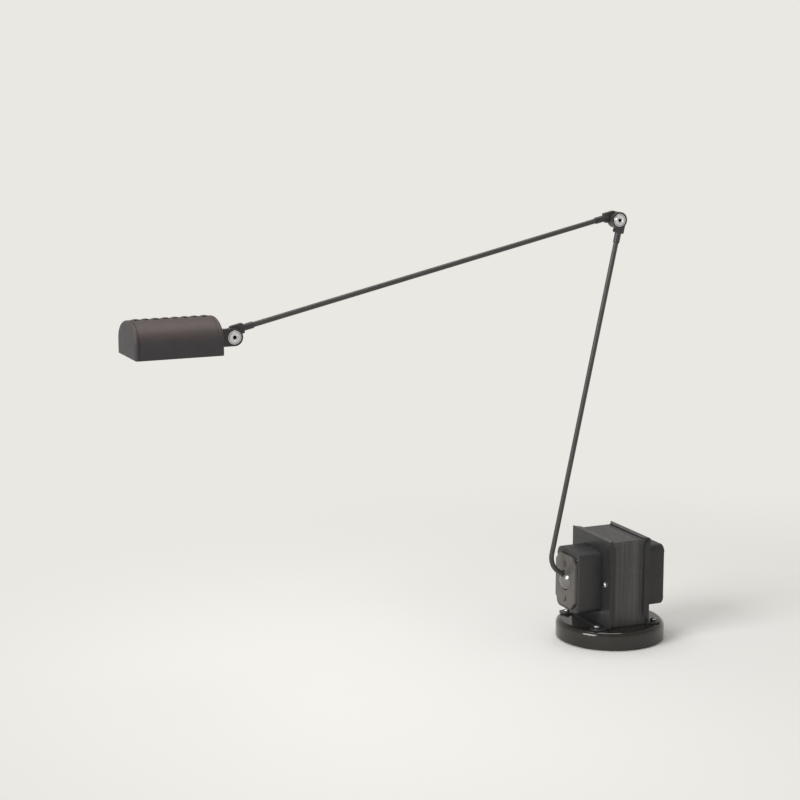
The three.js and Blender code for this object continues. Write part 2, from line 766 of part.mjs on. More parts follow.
piece('swivel_yoke', swivelYoke(), bareSteel).position.set(ballX, 0, ballZ);
piece('tilt_pin', bar('y', -yokeOuter + gap, yokeOuter - gap, tiltPinRadius, [0, 0], facets.shaft),
  bareSteel).position.set(ballX, 0, ballZ);

// ------------------------------------------------------------------------------- lower arm

const stubDirection = [-Math.cos(rad(stubAngle)), Math.sin(rad(stubAngle))];
const rodDirection = [Math.sin(rad(lowerLean)), Math.cos(rad(lowerLean))];
const rodEnd = blockReach - tubeSeat;

/** The lower arm's centre line in the X-Z plane: stub, bend, straight rod. */
class LowerArmPath extends THREE.Curve {
  constructor(bendSteps) {
    super();
    this.steps = bendSteps + 2;
    this.start = stubDirection.map((value) => value * tubeInset);
    this.bendStart = stubDirection.map((value) => value * stubLength);
    this.centre = [
      this.bendStart[0] + bendRadius * stubDirection[1],
      this.bendStart[1] - bendRadius * stubDirection[0],
    ];
    this.fromAngle = rad(90 - stubAngle);
    this.toAngle = rad(-lowerLean);
    this.bendEnd = this.onBend(this.toAngle);
  }

  /** A point on the bend, by the angle of the centre line to the vertical. */
  onBend(angle) {
    return [
      this.centre[0] - bendRadius * Math.cos(angle),
      this.centre[1] - bendRadius * Math.sin(angle),
    ];
  }

  /** A point on the rod, by its distance from the end of the bend. */
  onRod(distance) {
    return this.bendEnd.map((value, i) => value + rodDirection[i] * distance);
  }

  getPoint(t) {
    const station = t * this.steps;
    if (station <= 1) {
      const share = station;
      return this.place(this.start.map((value, i) => value + (this.bendStart[i] - value) * share));
    }
    if (station <= this.steps - 1) {
      const share = (station - 1) / (this.steps - 2);
      return this.place(this.onBend(this.fromAngle + (this.toAngle - this.fromAngle) * share));
    }
    return this.place(this.onRod((lowerRun - rodEnd) * (station - this.steps + 1)));
  }

  getTangent(t) {
    const share = THREE.MathUtils.clamp((t * this.steps - 1) / (this.steps - 2), 0, 1);
    const angle = this.fromAngle + (this.toAngle - this.fromAngle) * share;
    return new THREE.Vector3(-Math.sin(angle), 0, Math.cos(angle));
  }

  // samples fall where the shape needs them, so they are spaced by step and not by length
  getPointAt(u) {
    return this.getPoint(u);
  }

  getTangentAt(u) {
    return this.getTangent(u);
  }

  place([x, z]) {
    return new THREE.Vector3(x, 0, z);
  }
}

const tubeSection = outline(Array.from({ length: facets.shaft }, (_, i) => {
  const angle = (i / facets.shaft) * Math.PI * 2;
  return [tubeRadius * Math.cos(angle), tubeRadius * Math.sin(angle)];
}));
tubeSection.holes.push(outline(Array.from({ length: facets.shaft }, (_, i) => {
  const angle = -(i / facets.shaft) * Math.PI * 2;
  return [(tubeRadius - tubeWall) * Math.cos(angle), (tubeRadius - tubeWall) * Math.sin(angle)];
})));

const lowerArm = new THREE.Group();
lowerArm.position.set(ballX, 0, ballZ);
lamp.add(lowerArm);

const lowerPath = new LowerArmPath(8);
const lowerTube = new THREE.ExtrudeGeometry(tubeSection,
  { extrudePath: lowerPath, steps: lowerPath.steps, curveSegments: 1 });
piece('lower_arm_tube', solid(lowerTube), satinBlack, lowerArm);

/** The ball: bored for the arm tube and for the tilt pin. */
function ball() {
  const whole = solid(new THREE.SphereGeometry(ballRadius, facets.ball, facets.ball / 2));
  const boreFrom = tubeInset - gap;
  const bore = new THREE.CylinderGeometry(
    tubeRadius + gap, tubeRadius + gap, ballRadius, facets.shaft)
    .translate(0, boreFrom + ballRadius / 2, 0)
    .rotateX(Math.PI / 2)
    .rotateY(-rad(90 - stubAngle));
  return cut(whole, solid(bore),
    bar('y', -ballRadius - cutOver, ballRadius + cutOver, tiltPinRadius + gap, [0, 0], facets.shaft));
}

piece('arm_ball', ball(), satinBlack, lowerArm);

// ------------------------------------------------------------------------- joint fittings

const frontHub = [-frontHubThick / 2, frontHubThick / 2];
const washerFrom = frontHub[1] + gap;
const rearHubFrom = washerFrom + washerThick + gap;
const rearHub = [rearHubFrom, rearHubFrom + rearHubThick];
const rearPlane = (rearHub[0] + rearHub[1]) / 2;
const blockWidth = (tubeRadius + blockWall) * 2;
const collarRadius = tubeRadius + collarWall;
const pivotBore = pivotRadius + gap;
const discFront = frontHub[0] - discProud;

/** A fitting: a hub about Y, a block beside it, and a collar that takes the tube along X. */
function fitting(side, offset, [from, to], hubCuts) {
  const middle = (from + to) / 2;
  const across = (a, b) => [Math.min(side * a, side * b), Math.max(side * a, side * b)];
  const [low, high] = across(0, blockReach);
  const shoulder = block([low, from, offset - blockWidth / 2], [high, to, offset + blockWidth / 2]);
  const trim = slab('y', roundedRectangle(0, 0, (blockReach + blockEndClear) * 2, hubRadius * 2,
    hubRadius - hubCorner), from, to);
  const hub = bar('y', from, to, hubRadius);
  const collar = bar('x', ...across(hubRadius + gap, collarEnd), collarRadius,
    [middle, offset], facets.shaft);
  const tubeBore = bar('x', ...across(rodEnd - gap, collarEnd + cutOver), tubeRadius + gap,
    [middle, offset], facets.shaft);
  const pivot = bar('y', from - cutOver, to + cutOver, pivotBore, [0, 0], facets.shaft);
  return cut(join(hub, shoulder.intersect(trim), collar), tubeBore, pivot, ...hubCuts);
}

/** The round recess in a front hub that the bright disc sits in. */
function discRecess() {
  return bar('y', frontHub[0] - cutOver, discFront + discThick + gap, discRadius + gap);
}

/** The hexagonal pocket in a rear hub that stops its nut from turning. */
function nutPocket() {
  return bar('y', rearHub[1] - nutRecess, rearHub[1] + cutOver, nutSocket, [0, 0], 6);
}

/** The bore that a grub screw sits in, from the block's side to the tube. */
function grubBore(side, offset, plane, towards) {
  const reach = [offset + towards * (tubeRadius + gap), offset + towards * blockWidth];
  const [low, high] = [Math.min(...reach), Math.max(...reach)];
  return bar('z', low, high, grubRadius + gap, [side * grubStation, plane], facets.screw);
}

/** A grub screw standing in a fitting, between the tube and the outside of the block. */
function grubScrew(side, offset, plane, towards, proud) {
  const reach = [offset + towards * (tubeRadius + gap * 2), offset + towards * (blockWidth / 2 + proud)];
  const [low, high] = [Math.min(...reach), Math.max(...reach)];
  return bar('z', low, high, grubRadius, [side * grubStation, plane], facets.screw);
}

/** The pivot screw: a bright disc with a turned step, a hexagon socket and a long shank. */
function pivotScrew() {
  const end = rearHub[1] + shankProud;
  const stepped = discFront + discStep;
  const land = discFront + discStep / 2;
  const ringInner = socketRadius + discRingInner;
  const ringOuter = discRadius - discRingOuter;
  const body = turned('y', [
    [0, stepped], [ringInner - discStep / 2, stepped], [ringInner, discFront],
    [ringOuter - discStep / 2, discFront], [ringOuter, land], [discRadius - discRim, land],
    [discRadius, stepped], [discRadius, discFront + discThick],
    [pivotRadius, discFront + discThick], [pivotRadius, end], [0, end],
  ]);
  const socket = bar('y', discFront - cutOver, stepped + socketDepth,
    socketRadius / Math.cos(Math.PI / 6), [0, 0], 6);
  return cut(body, socket);
}

/** The pieces of one pivot that turn with its front hub: the screw and the friction washer. */
function pivotSet(name, parent) {
  piece(`${name}_pivot_screw`, pivotScrew(), brightAluminium, parent);
  const washer = cut(bar('y', washerFrom, washerFrom + washerThick, hubRadius - washerInset),
    bar('y', washerFrom - cutOver, washerFrom + washerThick + cutOver, pivotBore, [0, 0], facets.shaft));
  piece(`${name}_friction_washer`, washer, creamPlastic, parent);
}

/** The nut of one pivot, which its rear hub's pocket holds and turns. */
function pivotNut(name, parent) {
  const nutFrom = rearHub[1] - nutRecess + gap;
  piece(`${name}_pivot_nut`, hexNut('y', nutFrom, nutFrom + nutThick, nutAcross, pivotBore, [0, 0]),
    bareSteel, parent);
}

// ------------------------------------------------------------------- elbow end of lower arm

const elbowFoot = lowerPath.onRod(lowerRun);
const elbow = [
  elbowFoot[0] - lowerOffset * rodDirection[1],
  elbowFoot[1] + lowerOffset * rodDirection[0],
];
const elbowEnd = new THREE.Group();
elbowEnd.position.set(elbow[0], 0, elbow[1]);
elbowEnd.rotation.y = -rad(90 - lowerLean);
lowerArm.add(elbowEnd);

piece('lower_arm_fitting', fitting(-1, -lowerOffset, frontHub,
  [discRecess(), grubBore(-1, -lowerOffset, 0, 1)]), satinBlack, elbowEnd);
piece('lower_arm_grub_screw', grubScrew(-1, -lowerOffset, 0, 1, lowerGrubProud), blackEnamel, elbowEnd);
pivotSet('elbow', elbowEnd);

// ------------------------------------------------------------------------------- upper arm

const upperArm = new THREE.Group();
upperArm.position.set(ballX + elbow[0], 0, ballZ + elbow[1]);
upperArm.rotation.y = -rad(upperSlope);
lamp.add(upperArm);

const upperTube = cut(
  bar('x', -upperLength + rodEnd, -rodEnd, tubeRadius, [rearPlane, upperOffset], facets.shaft),
  bar('x', -upperLength, 0, tubeRadius - tubeWall, [rearPlane, upperOffset], facets.shaft),
);
piece('upper_arm_tube', upperTube, satinBlack, upperArm);
const headEnd = new THREE.Group();
headEnd.position.x = -upperLength;
upperArm.add(headEnd);
for (const [name, side, parent] of [['elbow_end', -1, upperArm], ['head_end', 1, headEnd]]) {
  piece(`upper_arm_${name}_fitting`, fitting(side, upperOffset, rearHub,
    [nutPocket(), grubBore(side, upperOffset, rearPlane, -1)]), satinBlack, parent);
  piece(`upper_arm_${name}_grub_screw`,
    grubScrew(side, upperOffset, rearPlane, -1, upperGrubProud), blackEnamel, parent);
}
pivotNut('elbow', upperArm);
pivotNut('head', headEnd);

// ------------------------------------------------------------------------------------ head

const head = new THREE.Group();
head.position.set(
  ballX + elbow[0] - upperLength * Math.cos(rad(upperSlope)),
  0,
  ballZ + elbow[1] - upperLength * Math.sin(rad(upperSlope)),
);
lamp.add(head);

const nearCapX = -hoodFromJoint;
const farCapX = nearCapX - hoodLength;
const rimZ = -hoodDrop;
const capScrewZ = capScrewHeights.map((height) => rimZ + height);
const springZ = rimZ + hoodWallHeight;
const crownZ = springZ + hoodArchHeight;

/** The lug that joins the near cap to the head joint. */
function headLug() {
  const [from, to] = frontHub;
  const strap = block([nearCapX + gap, from, -hubRadius], [0, to, hubRadius]);
  const hub = bar('y', from, to, hubRadius);
  const pivot = bar('y', from - cutOver, to + cutOver, pivotBore, [0, 0], facets.shaft);
  const taps = capScrewZ.map((z) => (
    bar('x', nearCapX - cutOver, nearCapX + capScrewReach + cutOver, capScrewRadius + gap,
      [0, z], facets.screw)));
  return cut(join(strap, hub), pivot, discRecess(), ...taps);
}

piece('head_lug', headLug(), satinBlack, head);
pivotSet('head', head);

/** The hood's section: straight walls under half an ellipse, drawn inset by a distance. */
function hoodSection(inset, foot = rimZ) {
  const half = hoodWidth / 2 - inset;
  const shape = new THREE.Shape();
  shape.moveTo(half, foot);
  shape.lineTo(half, springZ);
  shape.absellipse(0, springZ, half, hoodArchHeight - inset, 0, Math.PI);
  shape.lineTo(-half, foot);
  return shape;
}

/** A raised louvre over the crown, as a flattened half-ellipsoid across the hood. */
function louvre(x) {
  const bulge = new THREE.SphereGeometry(1, facets.shaft, facets.shaft / 2)
    .scale(louvreLength / 2, louvreWidth / 2, louvreRise * 3)
    .translate(x, louvreShift, crownZ - louvreRise * 2);
  return solid(bulge);
}

/** The slot in front of a louvre. */
function louvreSlotCut(x) {
  const [near, far] = louvreSlotY;
  return block([x - louvreSlot / 2, near, crownZ - hoodShell * 4],
    [x + louvreSlot / 2, far, crownZ + louvreRise * 4]);
}

const shellFrom = farCapX + hoodCap + gap;
const shellTo = nearCapX - hoodCap - gap;
const shellMiddle = (shellFrom + shellTo) / 2;
const louvrePlaces = Array.from({ length: louvreCount }, (_, i) => (
  shellMiddle + (i - (louvreCount - 1) / 2) * louvrePitch));

/** The hood: a bent shell, open below, with a row of louvres along its crown. */
function hoodShellBody() {
  let body = slab('x', hoodSection(0), shellFrom, shellTo, facets.arch);
  const inner = slab('x', hoodSection(hoodShell, rimZ - cutOver),
    shellFrom - cutOver, shellTo + cutOver, facets.arch);
  for (const x of louvrePlaces) {
    body = body.add(louvre(x));
  }
  body = cut(body, inner);
  for (const x of louvrePlaces) {
    body = cut(body, louvreSlotCut(x));
  }
  return body;
}

piece('hood_shell', hoodShellBody(), hoodPaint, head);

/** An end cap of the hood: a thick edge with a hollow back. */
function hoodCapBody(outerX, innerX, screwHoles) {
  const [low, high] = [Math.min(outerX, innerX), Math.max(outerX, innerX)];
  const body = slab('x', hoodSection(0), low, high, facets.arch);
  const floor = outerX + (innerX - outerX) * 0.5;
  const reach = innerX + Math.sign(innerX - outerX) * cutOver;
  const hollow = slab('x', hoodSection(hoodShell, rimZ - cutOver),
    Math.min(floor, reach), Math.max(floor, reach), facets.arch);
  return cut(body, hollow, ...screwHoles);
}

const capHoles = capScrewZ.map((z) => (
  bar('x', nearCapX - hoodCap - cutOver, nearCapX + cutOver, capScrewRadius + gap,
    [0, z], facets.screw)));
piece('hood_far_cap', hoodCapBody(farCapX, farCapX + hoodCap, []), hoodPaint, head);
piece('hood_near_cap', hoodCapBody(nearCapX, nearCapX - hoodCap, capHoles), hoodPaint, head);

for (const [level, z] of [['low', capScrewZ[0]], ['high', capScrewZ[1]]]) {
  const screw = panScrew(capScrewHead, capScrewHeadHeight, capScrewRadius, hoodCap / 2 + capScrewReach);
  const mesh = piece(`lug_screw_${level}`, screw, bareSteel, head);
  mesh.rotation.y = -Math.PI / 2;
  mesh.position.set(nearCapX - hoodCap / 2 - gap, 0, z);
}

/** The reflector: a polished trough inside the hood. */
function reflector() {
  const depth = reflectorInset + reflectorThick;
  const from = shellFrom + reflectorEndClear;
  const to = shellTo - reflectorEndClear;
  const outer = slab('x', hoodSection(reflectorInset, rimZ + reflectorFoot), from, to, facets.arch);
  const inner = slab('x', hoodSection(depth, rimZ), from - cutOver, to + cutOver, facets.arch);
  return cut(outer, inner);
}

piece('reflector', reflector(), brightAluminium, head);

const bulbZ = springZ + bulbRise;
const holderTo = shellTo - holderFromShell;
const holderFrom = holderTo - holderLength;

/** The ceramic lamp holder, with two sockets for the bulb's pins. */
function lampHolder() {
  const body = block([holderFrom, -holderWidth / 2, bulbZ - holderHeight / 2],
    [holderTo, holderWidth / 2, bulbZ + holderHeight / 2]);
  const sockets = [-bulbPinSpread, bulbPinSpread].map((y) => (
    bar('x', holderFrom - cutOver, holderFrom + holderSocketDepth, holderSocketRadius,
      [y, bulbZ], facets.screw)));
  return cut(body, ...sockets);
}

piece('lamp_holder', lampHolder(), ceramic, head);

/** The capsule bulb: a glass tube with a round tip, a pinched foot and two pins. */
function bulb() {
  const foot = holderFrom - gap;
  const tip = foot - bulbLength;
  const shoulder = foot - bulbPinch;
  const profile = [[0, shoulder], [bulbRadius, shoulder]];
  const arcSteps = 5;
  for (let i = 0; i <= arcSteps; i += 1) {
    const angle = (i / arcSteps) * Math.PI / 2;
    profile.push([bulbRadius * Math.cos(angle), tip + bulbRadius * (1 - Math.sin(angle))]);
  }
  const capsule = turned('x', profile.slice().reverse(), facets.shaft).translate([0, 0, bulbZ]);
  const stem = block([shoulder - cutOver, -bulbStemHalfWidth, bulbZ - bulbStemHalfThick],
    [foot, bulbStemHalfWidth, bulbZ + bulbStemHalfThick]);
  const pins = [-bulbPinSpread, bulbPinSpread].map((y) => (
    bar('x', foot - cutOver, holderFrom + bulbPinReach, bulbPinRadius, [y, bulbZ], facets.screw)));
  return join(capsule, stem, ...pins);
}

piece('bulb', bulb(), clearGlass, head);

export default lamp;
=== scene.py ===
"""Architect desk lamp: the finished surfaces of the lamp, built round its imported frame.

A laminated transformer stands on a glossy round weight. A rocker plate on one winding cover
is the dimmer switch, and a two-link tube arm grows out of a ball in the middle of it and
carries an arched, louvred hood. Every length is in metres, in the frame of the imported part.
"""

from __future__ import annotations

import json
import logging
import math
import random
from dataclasses import dataclass, field
from enum import Enum
from typing import Iterable, Sequence

import bmesh
import bpy
from mathutils import Matrix, Vector

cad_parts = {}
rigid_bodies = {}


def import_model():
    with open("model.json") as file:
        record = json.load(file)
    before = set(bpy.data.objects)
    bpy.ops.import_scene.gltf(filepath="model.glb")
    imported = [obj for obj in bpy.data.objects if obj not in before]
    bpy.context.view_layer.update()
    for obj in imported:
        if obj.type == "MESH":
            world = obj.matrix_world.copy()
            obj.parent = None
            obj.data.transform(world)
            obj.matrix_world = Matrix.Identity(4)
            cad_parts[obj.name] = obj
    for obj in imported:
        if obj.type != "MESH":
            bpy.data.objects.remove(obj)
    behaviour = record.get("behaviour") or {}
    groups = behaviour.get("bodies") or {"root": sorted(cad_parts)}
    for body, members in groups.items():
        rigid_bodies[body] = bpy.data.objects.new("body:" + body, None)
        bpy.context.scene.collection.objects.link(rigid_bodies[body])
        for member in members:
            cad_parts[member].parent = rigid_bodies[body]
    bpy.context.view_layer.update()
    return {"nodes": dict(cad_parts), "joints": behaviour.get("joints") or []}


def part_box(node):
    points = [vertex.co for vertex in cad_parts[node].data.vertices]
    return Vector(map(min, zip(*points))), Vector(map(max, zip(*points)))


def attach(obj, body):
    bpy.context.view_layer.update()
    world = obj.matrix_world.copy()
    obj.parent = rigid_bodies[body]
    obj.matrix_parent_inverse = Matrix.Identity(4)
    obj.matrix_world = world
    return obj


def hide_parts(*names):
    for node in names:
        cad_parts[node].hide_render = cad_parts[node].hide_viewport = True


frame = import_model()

MM = 0.001
LOG = logging.getLogger("desk_lamp")

Pair = tuple[float, float]
Colour = tuple[float, float, float]


# ------------------------------------------------------------------------------ named options


class Body(Enum):
    """The rigid bodies of the lamp."""

    BASE = "base"
    ROCKER = "rocker"
    SWIVEL = "swivel"
    LOWER_ARM = "lower_arm"
    UPPER_ARM = "upper_arm"
    HEAD = "head"


class Slot(Enum):
    """The finishes of the lamp, by the name of their slot in the record."""

    BASE_ENAMEL = "base_enamel"
    RUBBER = "rubber"
    CORE_STEEL = "core_steel"
    FRAME_BLACK = "frame_black"
    COVER_PLASTIC = "cover_plastic"
    ROCKER_PLASTIC = "rocker_plastic"
    BALL_METAL = "ball_metal"
    JOINT_BLACK = "joint_black"
    ARM_BLACK = "arm_black"
    HOOD_PAINT = "hood_paint"
    TURNED_METAL = "turned_metal"
    SCREW_STEEL = "screw_steel"
    COPPER_WIRE = "copper_wire"
    CREAM_PLASTIC = "cream_plastic"
    REFLECTOR_METAL = "reflector_metal"
    CERAMIC = "ceramic"
    BULB_GLASS = "bulb_glass"


class Axis(Enum):
    """An axis of the frame, and how a flat outline stands across it."""

    X = 0
    Y = 1
    Z = 2

    def point(self, a: float, b: float, station: float) -> Vector:
        """The point at a station on this axis, a and b along the other two in order."""
        values = [a, b]
        values.insert(self.value, station)
        return Vector(values)


# -------------------------------------------------------------------------------- finish tools


class Graph:
    """The node tree of one material, with short calls that add and join its nodes."""

    def __init__(self, name: str) -> None:
        """Starts a material with a bare shader.

        Args:
            name: the material's name.
        """
        self.material = bpy.data.materials.new(name)
        self.material.use_nodes = True
        self.tree = self.material.node_tree
        self.shader = self.tree.nodes["Principled BSDF"]

    def add(self, kind: str, **settings: object) -> bpy.types.Node:
        """Adds a node.

        Args:
            kind: the node's type, without its ShaderNode prefix.
            **settings: the node's own properties.

        Returns:
            The new node.
        """
        node = self.tree.nodes.new("ShaderNode" + kind)
        for name, value in settings.items():
            setattr(node, name, value)
        return node

    def join(self, source: bpy.types.NodeSocket, target: bpy.types.NodeSocket) -> None:
        """Joins an output to an input."""
        self.tree.links.new(source, target)

    def place(self) -> bpy.types.NodeSocket:
        """The point on the lamp, in metres, which moves with its body."""
        return self.add("TexCoord").outputs["Object"]

    def noise(self, scale: float, detail: float = 3.0, stretch: Colour = (1, 1, 1)) -> bpy.types.NodeSocket:
        """Adds even noise over the piece.

        Args:
            scale: how many waves a metre holds.
            detail: how many finer layers it has.
            stretch: how much denser it is along each axis.

        Returns:
            The noise's value, around one half.
        """
        mapping = self.add("Mapping")
        mapping.inputs["Scale"].default_value = stretch
        self.join(self.place(), mapping.inputs["Vector"])
        texture = self.add("TexNoise")
        texture.inputs["Scale"].default_value = scale
        texture.inputs["Detail"].default_value = detail
        self.join(mapping.outputs["Vector"], texture.inputs["Vector"])
        return texture.outputs["Fac"]

    def math(self, operation: str, a: object, b: object = 0.0) -> bpy.types.NodeSocket:
        """Adds a sum of two values, each a number or an output.

        Args:
            operation: the name of the sum.
            a: the first value.
            b: the second value.

        Returns:
            The result.
        """
        node = self.add("Math", operation=operation)
        for socket, value in zip(node.inputs, (a, b)):
            if isinstance(value, bpy.types.NodeSocket):
                self.join(value, socket)
            else:
                socket.default_value = value
        return node.outputs[0]

    def stretch(self, value: bpy.types.NodeSocket, source: Pair, target: Pair) -> bpy.types.NodeSocket:
        """Maps a value from one range to another, and holds it at the ends.

        Args:
            value: the output to map.
            source: the range it comes in.
            target: the range it leaves in.

        Returns:
            The mapped value.
        """
        node = self.add("MapRange")
        for socket, number in zip(list(node.inputs)[1:5], (*source, *target)):
            socket.default_value = number
        self.join(value, node.inputs[0])
        return node.outputs[0]

    def blend(self, share: bpy.types.NodeSocket, low: object, high: object) -> bpy.types.NodeSocket:
        """Mixes two colours, each a colour or an output.

        Args:
            share: how much of the second shows.
            low: the first colour.
            high: the second colour.

        Returns:
            The mixed colour.
        """
        node = self.add("Mix", data_type="RGBA")
        self.join(share, node.inputs[0])
        for socket, value in zip((node.inputs[6], node.inputs[7]), (low, high)):
            if isinstance(value, bpy.types.NodeSocket):
                self.join(value, socket)
            else:
                socket.default_value = (*value, 1.0)
        return node.outputs[2]

    def worn_edge(self, radius: float, share: float) -> bpy.types.NodeSocket:
        """How much the finish is rubbed where an edge stands out.

        Args:
            radius: how far from the edge it reaches.
            share: the most that is rubbed.

        Returns:
            The rubbed share, broken up by noise.
        """
        bevel = self.add("Bevel", samples=4)
        bevel.inputs["Radius"].default_value = radius
        geometry = self.add("NewGeometry")
        dot = self.add("VectorMath", operation="DOT_PRODUCT")
        self.join(bevel.outputs[0], dot.inputs[0])
        self.join(geometry.outputs["Normal"], dot.inputs[1])
        turned = self.math("SUBTRACT", 1.0, dot.outputs["Value"])
        edge = self.stretch(turned, (0.015, 0.16), (0.0, share))
        patches = self.stretch(self.noise(350.0, 4.0), (0.35, 0.7), (0.15, 1.0))
        return self.math("MULTIPLY", edge, patches)

    def bump(self, height: bpy.types.NodeSocket, depth: float, below: object = None) -> bpy.types.NodeSocket:
        """Adds relief.

        Args:
            height: the relief's shape, from 0 to 1.
            depth: how deep it is, in metres.
            below: relief that it adds to.

        Returns:
            The normal that it gives.
        """
        node = self.add("Bump")
        node.inputs["Strength"].default_value = 1.0
        node.inputs["Distance"].default_value = depth
        self.join(height, node.inputs["Height"])
        if below is not None:
            self.join(below, node.inputs["Normal"])
        return node.outputs[0]

    def into(self, **sockets: object) -> None:
        """Sets the shader's inputs by name, each to a number, a colour or an output."""
        for name, value in sockets.items():
            socket = self.shader.inputs[name.replace("_", " ")]
            if isinstance(value, bpy.types.NodeSocket):
                self.join(value, socket)
            else:
                socket.default_value = value


def shade(colour: Colour, factor: float) -> Colour:
    """A colour made lighter or darker by a factor."""
    return tuple(min(1.0, value * factor) for value in colour)


@dataclass(frozen=True)
class Coated:
    """A smooth coat or a moulded skin: paint, enamel, plastic, rubber or glaze."""

    slot: Slot
    colour: Colour
    roughness: float
    spread: float = 0.15
    roughness_spread: float = 0.06
    mottle: float = 60.0
    grain: float = 2500.0
    grain_depth: float = 0.02 * MM
    wave: float = 160.0
    wave_depth: float = 0.0
    coat: float = 0.0
    coat_roughness: float = 0.05
    specular: float = 0.5
    metallic: float = 0.0
    wear: float = 0.0
    wear_colour: Colour = (0.30, 0.29, 0.28)
    wear_radius: float = 0.5 * MM
    # Painted light: a lighter, warmer colour for faces that point up, as if lit from above; None for none.
    painted_top_light: Colour | None = None

    def material(self) -> bpy.types.Material:
        """Makes the coat's material.

        Returns:
            A material with mottled colour, grain in its relief, rubbed edges, and painted top light on faces that point
            up when a top colour is given.
        """
        graph = Graph(self.slot.value)
        mottle = graph.noise(self.mottle, 4.0)
        even = graph.stretch(mottle, (0.3, 0.7), (0.0, 1.0))
        colour = graph.blend(even, shade(self.colour, 1 - self.spread), shade(self.colour, 1 + self.spread))
        fine = graph.stretch(graph.noise(self.grain, 2.0), (0.35, 0.65), (0.0, 0.35))
        colour = graph.blend(fine, colour, shade(self.colour, 1 + self.spread * 2.5))
        # Painted light: faces that point up are blended towards the top colour, as if lit from above.
        if self.painted_top_light is not None:
            facing = graph.add("SeparateXYZ")
            graph.join(graph.add("TexCoord").outputs["Normal"], facing.inputs[0])
            top_light_share = graph.stretch(facing.outputs["Z"], (0.05, 0.75), (0.0, 1.0))
            colour = graph.blend(top_light_share, colour, self.painted_top_light)
        roughness = graph.stretch(
            graph.noise(self.mottle * 3.1, 5.0), (0.3, 0.7),
            (self.roughness - self.roughness_spread, self.roughness + self.roughness_spread),
        )
        if self.wear > 0:
            rubbed = graph.worn_edge(self.wear_radius, self.wear)
            colour = graph.blend(rubbed, colour, self.wear_colour)
        relief = graph.bump(graph.noise(self.grain, 3.0), self.grain_depth)
        if self.wave_depth > 0:
            relief = graph.bump(graph.noise(self.wave, 2.0), self.wave_depth, relief)
        graph.into(
            Base_Color=colour, Roughness=roughness, Normal=relief, Metallic=self.metallic,
            Coat_Weight=self.coat, Coat_Roughness=self.coat_roughness,
            Specular_IOR_Level=self.specular,
        )
        return graph.material


@dataclass(frozen=True)
class Laminated:
    """The sides of a stack of varnished steel sheets: fine lines across the stack."""

    slot: Slot
    colour: Colour
    line: Colour
    sheets_per_metre: float = 900.0
    bands_per_metre: float = 170.0
    roughness: float = 0.42
    metallic: float = 0.35
    depth: float = 0.05 * MM

    def material(self) -> bpy.types.Material:
        """Makes the stack's material.

        Returns:
            A material streaked along the sheets, with the odd bright or rusty one.
        """
        graph = Graph(self.slot.value)
        along = (1.0, 0.012, 0.012)
        sheets = graph.noise(self.sheets_per_metre, 2.0, along)
        bands = graph.noise(self.bands_per_metre, 3.0, along)
        smear = graph.stretch(graph.noise(45.0, 4.0), (0.35, 0.65), (0.0, 0.4))
        dark = graph.stretch(sheets, (0.36, 0.64), (0.0, 1.0))
        colour = graph.blend(dark, shade(self.line, 1.0), self.colour)
        colour = graph.blend(graph.stretch(bands, (0.42, 0.62), (0.0, 0.55)), colour, shade(self.colour, 1.55))
        colour = graph.blend(smear, colour, shade(self.colour, 0.75))
        rubbed = graph.worn_edge(0.4 * MM, 0.35)
        colour = graph.blend(rubbed, colour, (0.35, 0.34, 0.33))
        relief = graph.bump(sheets, self.depth)
        roughness = graph.stretch(bands, (0.3, 0.7), (self.roughness - 0.08, self.roughness + 0.1))
        graph.into(Base_Color=colour, Roughness=roughness, Normal=relief, Metallic=self.metallic)
        return graph.material


